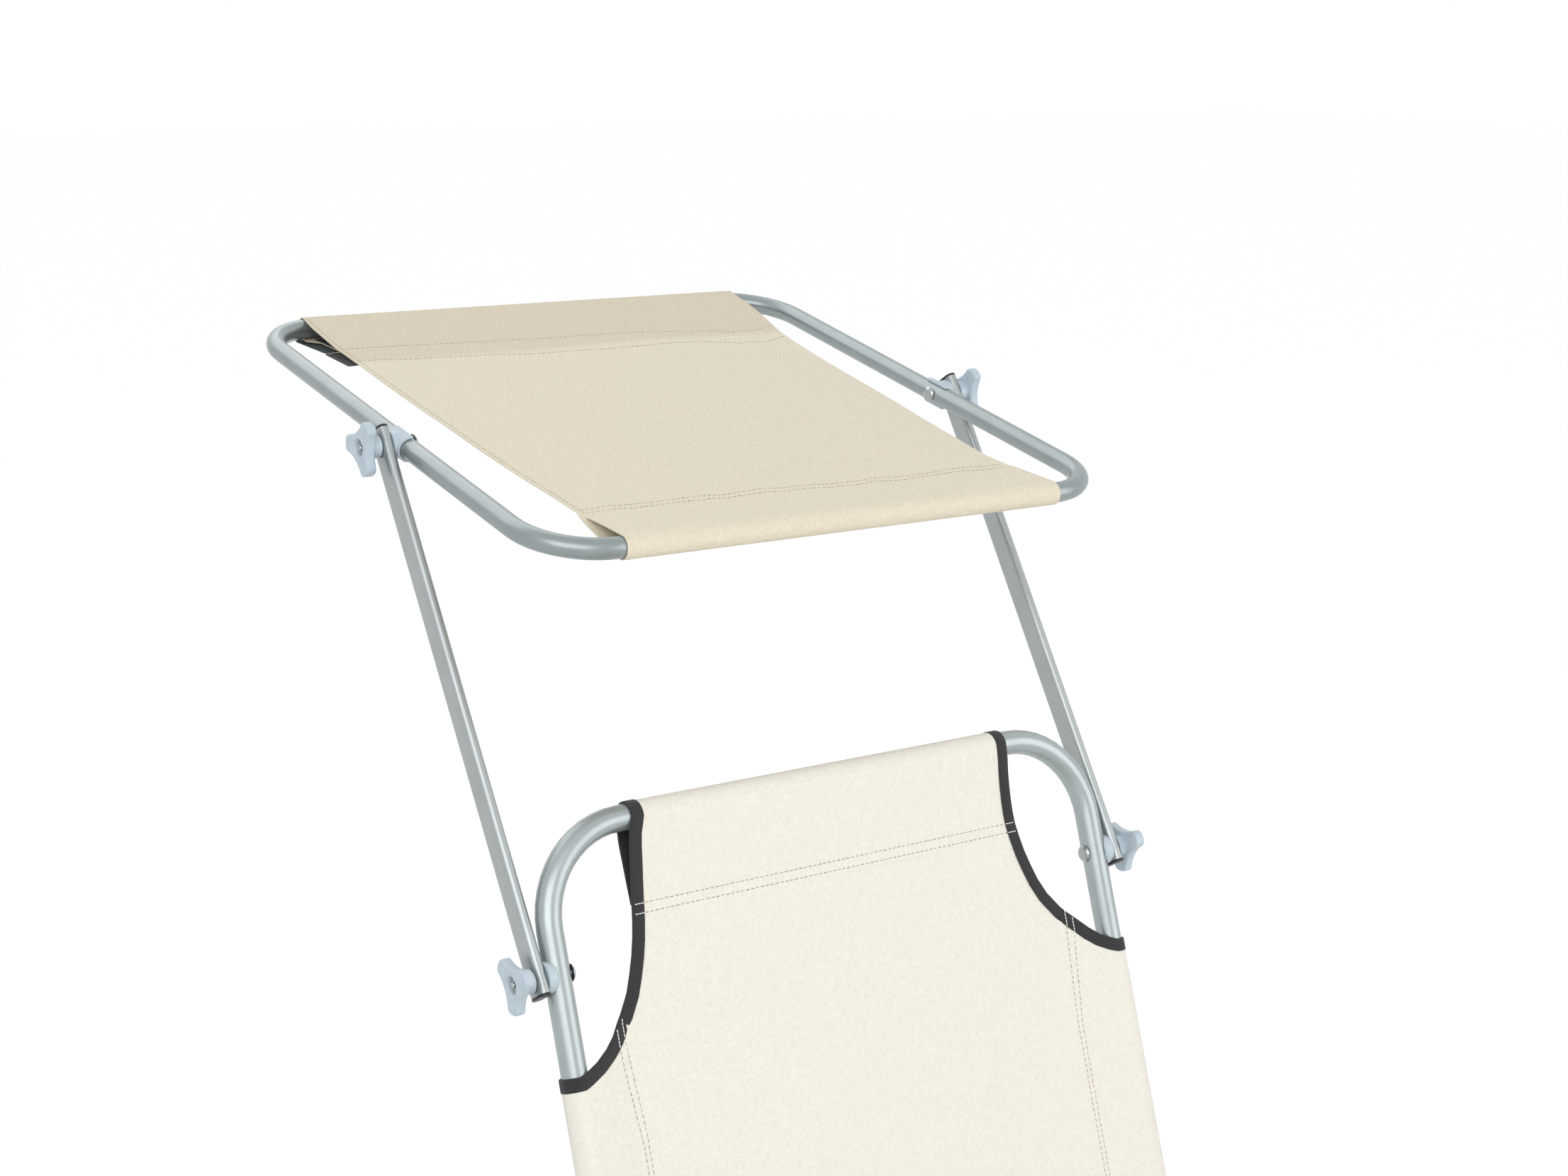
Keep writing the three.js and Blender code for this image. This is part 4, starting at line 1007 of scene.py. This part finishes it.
def roof_ripple(x, v):
    """Slow waves over the whole roof, and short folds that fan out from the front seam."""
    calm = unit((canopy_rear - 0.02 - v) / 0.08) * unit((v + canopy_front) / 0.03)
    slow = noise.noise(Vector((x * 7, v * 6, 4.0))) * 0.0022
    fan = max(0.0, 1 - abs(v + 0.180) / 0.10)
    folds = noise.noise(Vector((x * 26 - v * 14, v * 5, 9.0))) * 0.0024 * fan
    by_seam = max(0.0, 1 - abs(v - front_seam) / 0.02)
    pucker = noise.noise(Vector((x * 75, v * 30, 6.0))) * 0.0005 * by_seam
    return (slow + folds + pucker) * calm


def flap_droop(x):
    """The rear flap hangs lower towards its open left end."""
    return 0.0015 * max(0.0, (-x - 0.12) / 0.12) ** 2


def roof_point(q, v, z, face):
    """A point of the roof's pattern at the share q of its half-width."""
    half, lift = roof_half(q, v), 0.0
    rear_flap, front_flap = face == "under" and v > 0, face == "under" and v < -0.19
    if rear_flap and v < 0.28:
        half = flap_half
    if front_flap:
        half = half - 0.0012 if q > 0 else 0.2300 - 0.0088 * unit((-0.205 - v) / 0.045)
    if face == "top":
        lift = roof_ripple(q * half, v)
    elif rear_flap and 0.15 < v < 0.29:
        lift = -flap_droop(q * half) * min(1.0, (0.29 - v) / 0.05)
    return Vector((q * half, v, z + lift))


rear_wrap = sleeve_outline(canopy_rear, roof_radius, canopy_rear - 0.095, 0.042, roof_sheet)
front_stitch = canopy_front - 0.050
front_wrap = sleeve_outline(
    canopy_front, roof_radius, front_stitch, 0.012, lambda a: roof_sheet(-a)
)
profile = [(-a, z, "under") for a, z in reversed(front_wrap)]
profile += [(v, roof_sheet(v), "top") for v in spread(-canopy_front, canopy_rear, 0.0065)]
profile += [(a, z, "under") for a, z in rear_wrap]
lengths = lengths_along([(v, z) for v, z, _ in profile])
top_middles = [(abs(v), length) for (v, _, face), length in zip(profile, lengths) if face == "top"]
roof_middle = min(top_middles)[1]
roof_grid = []
for (v, z, face), length in zip(profile, lengths):
    points = [roof_point(q, v, z, face) for q in spread(-1, 1, 0.018)]
    roof_grid.append([(point, (point.x, length - roof_middle)) for point in points])
roof, roof_area = cloth_piece("canopy_roof", [(roof_grid, everywhere)], canopy_place)
dress(roof, roof_cloth, "canopy", "canopy_cloth", "canopy_fabric")
print("roof cloth", round(roof_area, 4), "square metres")

# %% [markdown]
# ## Tape and strip
# The binding is a tape folded over the raw edge. It runs from under the side sleeve, round
# the rail, along the shoulder, over the end bar and down the back of the top sleeve. A folded
# profile swept along that path gives it; the same sweep makes the hook-and-loop strip.

# %% Sweep a profile along a seam


def skin(built, rings):
    """Joins closed rings by quads, and gives each with its ring and its place round the ring."""
    for i, (low, high) in enumerate(zip(rings, rings[1:])):
        for k in range(len(low)):
            n = (k + 1) % len(low)
            yield built.faces.new((low[k], low[n], high[n], high[k])), i, k


def swept(name, stations, outline, place):
    """stations: (point, inward, normal). outline: closed (inward, normal) offsets."""
    built = bmesh.new()
    layer = built.loops.layers.uv.new("weave")
    around = lengths_along([*outline, outline[0]])
    runs = lengths_along([p for p, _, _ in stations])
    rings = [
        [built.verts.new(p + a * inward + b * normal) for a, b in outline]
        for p, inward, normal in stations
    ]
    for face, i, k in skin(built, rings):
        corners = ((i, k), (i, k + 1), (i + 1, k + 1), (i + 1, k))
        for loop, (along, across) in zip(face.loops, corners):
            loop[layer].uv = (runs[along], around[across])
    ends = [built.faces.new(rings[0]), built.faces.new(rings[-1][::-1])]
    bmesh.ops.triangulate(built, faces=ends)
    bmesh.ops.recalc_face_normals(built, faces=built.faces)
    return smooth(piece_from(built, name, place), 50)


tape_width, tape_thick = 0.0105, 0.0007
bottom = -cloth - tape_thick
# A tape folded over an edge: outside face, fold, inside face, and back along the cloth.
fold_outline = [
    (tape_width, 0.0001), (tape_width, tape_thick * 0.7), (tape_width - 0.0006, tape_thick),
    (0.0006, tape_thick), (-0.0005, tape_thick * 0.6), (-0.0009, -cloth / 2),
    (-0.0005, bottom * 0.85), (0.0006, bottom), (tape_width - 0.0006, bottom),
    (tape_width, bottom * 0.85), (tape_width, -cloth - 0.0001),
    (0.0003, -cloth - 0.0001), (0.0003, 0.0001),
]


def binding_path(bar_y, sign, height):
    """The tape's points, each with its part: round the rail, the shoulder, round the bar."""
    foot_y, stitch = bar_y - shoulder_foot, rail_x - seam_in
    rail_wrap = sleeve_outline(rail_x, sleeve_radius, stitch, 0, lambda a: height(a, foot_y), 18)
    bar_wrap = sleeve_outline(
        bar_y, sleeve_radius, bar_y - top_seams[0], 0, lambda a: height(0, a), 18
    )
    edge = [
        Vector((side_edge(sign, bar_rise - row[0]), bar_y - bar_rise + row[0], 0))
        for row in reversed(shoulder_table)
    ]
    pairs = zip(edge, edge[1:])
    edge = [a.lerp(b, i / 3) for a, b in pairs for i in range(3)] + [edge[-1]]
    for p in edge:
        p.z = height(p.x, min(p.y, bar_y))
    runs = [
        [Vector((sign * a, foot_y, z)) for a, z in reversed(rail_wrap[:-1])],
        edge,
        [Vector((side_edge(sign, bar_y - min(y, bar_y)), y, z)) for y, z in bar_wrap[:-1]],
    ]
    dense, parts = [], []
    for part, points in enumerate(runs):
        for before, after in zip([*dense[-1:], *points], points if dense else points[1:]):
            steps = max(1, round((after - before).length / 0.006))
            dense += [before.lerp(after, i / steps) for i in range(1 if dense else 0, steps + 1)]
            parts += [part] * (len(dense) - len(parts))
    return dense, parts


def binding(name, bar_y, sign, place, body):
    def height(x, y):
        return sheet_height(x, y, bar_y)

    dense, parts = binding_path(bar_y, sign, height)
    stations = []
    for i, (p, part) in enumerate(zip(dense, parts)):
        along = (dense[min(i + 1, len(dense) - 1)] - dense[max(i - 1, 0)]).normalized()
        if part == 0:
            inward = Vector((0, -1, 0))
            normal = inward.cross(along) * -sign
        elif part == 2:
            inward = Vector((-sign, 0, 0))
            normal = Vector((0, -along.z, along.y))
        else:
            slope_x = (height(p.x + 0.001, p.y) - height(p.x - 0.001, p.y)) / 0.002
            slope_y = (height(p.x, p.y) - height(p.x, p.y - 0.002)) / 0.002
            normal = Vector((-slope_x, -slope_y, 1)).normalized()
            inward = normal.cross(along) * sign
        stations.append((p, inward.normalized(), normal.normalized()))
    piece = swept(name, stations, fold_outline, place)
    return dress(piece, black_tape, body, "black_plastic")


tapes = {}
for side, sign in both_sides:
    for body, bar_y, place in end_sections:
        tapes[body, side] = binding(f"{body}_binding_{side}", bar_y, sign, place, body)
print("binding tapes", len(tapes))

# %% The hook-and-loop strip under the roof


def flap_under(v):
    """Height of the flap's lower side, from the rear bar's foot to its hem."""
    return read_table(rear_wrap[15:], v)[0]


def across_roof(name, ends, pitch, outline, hang, material, slot):
    """Sweeps a profile across the roof; hang is its share of the flap's droop."""
    stations = [
        (Vector((x, 0, -flap_droop(x) * hang)), Vector((0, 1, 0)), up)
        for x in spread(*ends, pitch)
    ]
    piece = swept(name, stations, outline, canopy_place)
    return dress(piece, material, "canopy", slot)


up = Vector((0, 0, 1))
strip_rear, strip_front, strip_width = 0.243, 0.195, 0.048
chord = Vector((0, strip_front - strip_rear, flap_under(strip_front) - flap_under(strip_rear)))
stations = []
for x in spread(-0.241, 0.229, 0.008):
    height = flap_under(strip_rear) - 0.0014 - flap_droop(x) * 0.95
    inward = (chord - flap_droop(x) * 0.05 * up).normalized()
    stations.append((Vector((x, strip_rear, height)), inward, up))
strip_outline = [
    (0, 0), (strip_width, 0), (strip_width, -0.0006),
    (strip_width - 0.0008, -0.0013), (0.0008, -0.0013), (0, -0.0006),
]
strip = swept("canopy_pile_strip", stations, strip_outline, canopy_place)
dress(strip, hook_pile, "canopy", "black_plastic", "canopy_hook_strip")
# Two thin dark grey-green bands run across the rear sleeve, along the flap by the strip and on the flap's inner
# face: painted shade where the sleeve's inside lies in shade.
path = [Vector(p) for p in rear_wrap[10:] if p[0] > strip_rear - 0.018]
near_side, far_side = [], []
for before, at, after in zip(path, path[1:], path[2:]):
    run = (after - before).normalized()
    away = Vector((run.y, -run.x))
    away = away if away.y < 0 else -away
    near_side.append(tuple(at + away * 0.0003))
    far_side.append(tuple(at + away * 0.0009))
outline = near_side + far_side[::-1]
shade_sheet_slot = painted_shade_sheet, "canopy_cloth"
painted_shade_band = across_roof("rear_sleeve_painted_shade", (-0.2425, 0.2285), 0.010, outline, 1, *shade_sheet_slot)
foot, stitch = Vector(rear_wrap[15]), Vector(rear_wrap[23])
fall = stitch - foot
rise = Vector((-fall.y, fall.x)).normalized()
rise = rise if rise.y > 0 else -rise
path = [foot + fall * share for share in (0.07, 0.20, 0.35, 0.52)]
outline = [tuple(p + rise * 0.0012) for p in path] + [tuple(p + rise * 0.0017) for p in path[::-1]]
inside_ends = -0.2288, 0.2285
sleeve_inside = across_roof("rear_sleeve_inside_painted_shade", inside_ends, 0.010, outline, 0.4, *shade_sheet_slot)
print("strip width", strip_width)

# %% [markdown]
# ## Stitches
# Sewing is what tells cloth from card. One stitch is a short, low bead of thread that dips at
# both ends. It is modelled once, and its copies are laid along each seam line into a single
# mesh, with few faces because there are hundreds of them.

# %% One stitch, and seams of them
# The bed's and roof's stitches use the thread that is set darker: painted shade along them.
bed_thread = (0.0050, 0.0036, 0.00042, light_thread_painted_shade)
tack_thread = (0.0030, 0.0027, 0.00045, white_thread)


def stitch_shape(length, thick):
    """A low bead along X with a flat underside: six points round, four rings long."""
    rings = []
    angles = [i * pi / 3 for i in range(6)]
    for x, k in ((-0.5, 0.35), (-0.3, 1.0), (0.3, 1.0), (0.5, 0.35)):
        radius = k * thick
        ring = [(x * length, radius * cos(a), radius * max(sin(a), -0.3)) for a in angles]
        rings.append([Vector(p) for p in ring])
    return rings


def landed(lines, pieces, place):
    """Drops every point of the lines along its normal on to the pieces' real surface."""
    points, faces, back = [], [], place.inverted()
    for piece in pieces:
        start = len(points)
        points += [back @ vertex.co for vertex in piece.data.vertices]
        faces += [[start + i for i in face.vertices] for face in piece.data.polygons]
    tree = BVHTree.FromPolygons(points, faces)
    runs = []
    for line in lines:
        hits = [tree.ray_cast(p + 0.03 * n, -n, 0.06)[:2] for p, n in line]
        runs.append([(at, normal) for at, normal in hits if at is not None])
    return [run for run in runs if len(run) > 1]


def places_along(line, pitch):
    """Even places on a run of (point, normal): the point, its direction and its normal."""
    runs = lengths_along([p for p, _ in line])
    at, k = pitch / 2, 0
    while at < runs[-1]:
        while runs[k + 1] < at and k + 2 < len(runs):
            k += 1
        share = (at - runs[k]) / max(runs[k + 1] - runs[k], 1e-9)
        (p0, n0), (p1, n1) = line[k], line[k + 1]
        yield p0.lerp(p1, share), (p1 - p0).normalized(), n0.lerp(n1, share).normalized()
        at += pitch


def seam(name, lines, thread, place, body, on):
    """lines: runs of (point, normal). thread: pitch, length, thickness and finish."""
    pitch, length, thick, material = thread
    built = bmesh.new()
    shape = stitch_shape(length, thick)
    count = 0
    for line in landed(lines, on, place):
        for here, along, normal in places_along(line, pitch):
            side = normal.cross(along).normalized()
            rings = [
                [built.verts.new(here + v.x * along + v.y * side + v.z * normal) for v in ring]
                for ring in shape
            ]
            list(skin(built, rings))
            built.faces.new(rings[0][::-1])
            built.faces.new(rings[-1])
            count += 1
    bmesh.ops.recalc_face_normals(built, faces=built.faces)
    piece = smooth(piece_from(built, name, place), 60)
    return dress(piece, material, body, "sling_cloth"), count

# %% Seams of the bed


def flat_line(x0, y0, x1, y1, wide=0.0, pitch=0.004):
    """A straight line over the cloth; over its last 80 mm it draws out by wide."""
    start, end = Vector((x0, y0, sheet_top)), Vector((x1, y1, sheet_top))
    length = (end - start).length
    line = []
    for run in spread(0, length, pitch):
        p = start.lerp(end, run / length)
        p.x += wide * max(0.0, (run - length + 0.083) / 0.083)
        line.append((p, up))
    return line


side_seams = ((0.2335, 0.180, 0.008), (0.2290, 0.170, 0.006))


def end_section_seams(body, bar_y, place):
    """The seams of both top sleeves and, drawn out at their ends, of the side sleeves."""
    lines = []
    for off in top_seams:
        ends = side_edge(-1, off) + 0.011, side_edge(1, off) - 0.011
        lines.append(flat_line(ends[0], bar_y - off, ends[1], bar_y - off))
    for sign in (-1, 1):
        for x, top, wide in side_seams:
            lines.append(flat_line(sign * x, 0.077, sign * x, bar_y - top, sign * wide))
    return seam(f"{body}_seams", lines, bed_thread, place, body, [slings[body]])


(back_seams, back_count), (foot_seams, foot_count) = (
    end_section_seams(*section) for section in end_sections
)
seat_lines = [flat_line(x, -0.563, x, -0.077) for x in (-0.2335, -0.2290, 0.2290, 0.2335)]
seat_on = seat_place, "seat", [seat_sling]
seat_seams, seat_count = seam("seat_seams", seat_lines, bed_thread, *seat_on)
print("bed stitches", back_count + foot_count + seat_count)

# %% Seams of the roof


def roof_line(v_at, margin):
    """A seam across the roof, a little uneven, at v_at(q) along it."""
    line = []
    for q in spread(-1, 1, 0.015):
        v = v_at(q) + noise.noise(Vector((q * 6, v_at(0) * 90, 2.0))) * 0.0016
        line.append((Vector((q * (roof_half(q, v) - margin), v, roof_radius)), up))
    return line


rear_line = [
    (-1, 0.222), (-0.33, 0.217), (0.32, 0.209), (0.66, 0.202),
    (0.78, 0.196), (0.90, 0.198), (1, 0.205),
]
second_line = [
    (-1, 0.191), (-0.42, 0.182), (0.23, 0.173), (0.55, 0.175),
    (0.75, 0.166), (0.90, 0.166), (1, 0.176),
]
roof_lines = [
    roof_line(lambda q: -0.1915 - 0.004 * q, 0.003),
    roof_line(lambda q: -0.1995 - 0.004 * q, 0.003),
    roof_line(lambda q: read_table(rear_line, q)[0], 0.002),
    roof_line(lambda q: read_table(second_line, q)[0], 0.002),
    [
        (Vector((0.004 - roof_half(-1, v), v, roof_radius)), up)
        for v in spread(-0.195, 0.300, 0.006)
    ],
]
roof_on = canopy_place, "canopy", [roof]
roof_seams, roof_count = seam("roof_seams", roof_lines, bed_thread, *roof_on)
print("roof stitches", roof_count)

# %% White tacks on the tape


def tape_tacks(body, bar_y, place):
    """White thread where the top seam and the side seams cross the tape."""
    lines = []
    for sign in (-1, 1):
        for off in top_seams:
            edge, y = side_edge(sign, off), bar_y - off
            ends = edge - sign * tape_width, y, edge - sign * 0.0008, y
            lines.append(flat_line(*ends, 0, 0.0016))
        for x in (0.2415, 0.2350):
            y = bar_y - next(off for off in spread(0.12, 0.22, 0.0005) if cut_out(off)[0] > x)
            lines.append(flat_line(sign * x, y - 0.0150, sign * x, y - 0.0014, 0, 0.0016))
    on = [slings[body], tapes[body, "left"], tapes[body, "right"]]
    return seam(f"{body}_tape_tacks", lines, tack_thread, place, body, on)


(back_tacks, tack_count), (foot_tacks, _) = (tape_tacks(*section) for section in end_sections)
print("tacks on each tape", tack_count)

# %% Count of cloth pieces
print("sheets", 4)

# %% [markdown]
# ## Stage, light and camera
# The photograph is a cut-out on white under broad, soft light. A large pale floor keeps the
# shadow, the world fills in from all round, and three big soft lamps give the tubes their
# long highlights. White behind the object comes from what the camera sees of floor and world,
# not from more light.

# %% Floor


def seen_directly(owner, path):
    """1 where the camera or a mirror-like surface looks straight at it, else 0."""
    return maths(owner, "MAXIMUM", path.outputs["Is Camera Ray"], path.outputs["Is Glossy Ray"])


deselect()
bpy.ops.mesh.primitive_plane_add(size=60)
floor = bpy.context.object
floor.name = "studio_floor"
pale = bpy.data.materials.new("pale_floor")
pale.use_nodes = True
pale.node_tree.nodes.clear()
matte = node(pale, "ShaderNodeBsdfDiffuse", {0: (0.80, 0.80, 0.80, 1)})
glow = node(pale, "ShaderNodeEmission", {"Strength": 1.12})
share = maths(pale, "MULTIPLY", seen_directly(pale, node(pale, "ShaderNodeLightPath")), 0.80)
mix = node(pale, "ShaderNodeMixShader")
out = node(pale, "ShaderNodeOutputMaterial")
wire(pale, (share, mix.inputs[0]), (matte.outputs[0], mix.inputs[1]))
wire(pale, (glow.outputs[0], mix.inputs[2]), (mix.outputs[0], out.inputs[0]))
floor.data.materials.append(pale)
print("floor laid")

# %% World
world = bpy.data.worlds.new("white_studio")
bpy.context.scene.world = world
world.use_nodes = True
background = world.node_tree.nodes["Background"]
path = node(world, "ShaderNodeLightPath")
through = path.outputs["Is Transmission Ray"]
seen = maths(world, "MAXIMUM", seen_directly(world, path), through)
colour = mixed(world, seen, (0.94, 0.97, 1.0), (1, 1, 1))
strength = between(world, seen, 0.62, 1.0, 0, 1)
wire(world, (colour, background.inputs["Color"]), (strength, background.inputs["Strength"]))
print("world set")

# %% Lamps


def soft_lamp(name, place, aim, size, power):
    data = bpy.data.lights.new(name, "AREA")
    data.shape = "RECTANGLE"
    data.size, data.size_y = size
    data.energy = power
    lamp = new_piece(name, data)
    lamp.location = place
    lamp.rotation_euler = (Vector(aim) - Vector(place)).to_track_quat("-Z", "Y").to_euler()


soft_lamp("front_key", (-2.6, -2.7, 2.7), (0, 0.2, 0.8), (4.2, 3.2), 96)
soft_lamp("right_fill", (2.6, -2.7, 1.7), (0, 0.2, 0.8), (3.0, 3.0), 46)
soft_lamp("top_back", (-0.4, 2.8, 3.4), (0, 0.6, 1.0), (4.0, 2.4), 34)
print("lamps", 3)

# %% Camera
yaw, pitch, roll = radians(35.20), radians(-12.45), radians(0.55)
ahead = Vector((sin(yaw) * cos(pitch), cos(yaw) * cos(pitch), sin(pitch)))
flat_right = Vector((cos(yaw), -sin(yaw), 0))
flat_up = flat_right.cross(ahead)
right = cos(roll) * flat_right + sin(roll) * flat_up
above = -sin(roll) * flat_right + cos(roll) * flat_up
camera_data = bpy.data.cameras.new("camera")
camera_data.lens, camera_data.sensor_width = 59.74, 36
camera = new_piece("camera", camera_data)
camera.matrix_world = Matrix((right, above, -ahead)).transposed().to_4x4()
camera.location = (-1.2662, -1.2668, 1.4617)
bpy.context.scene.camera = camera
bpy.context.scene.view_settings.view_transform = "Standard"
print("camera", round(camera_data.lens, 1), "mm")
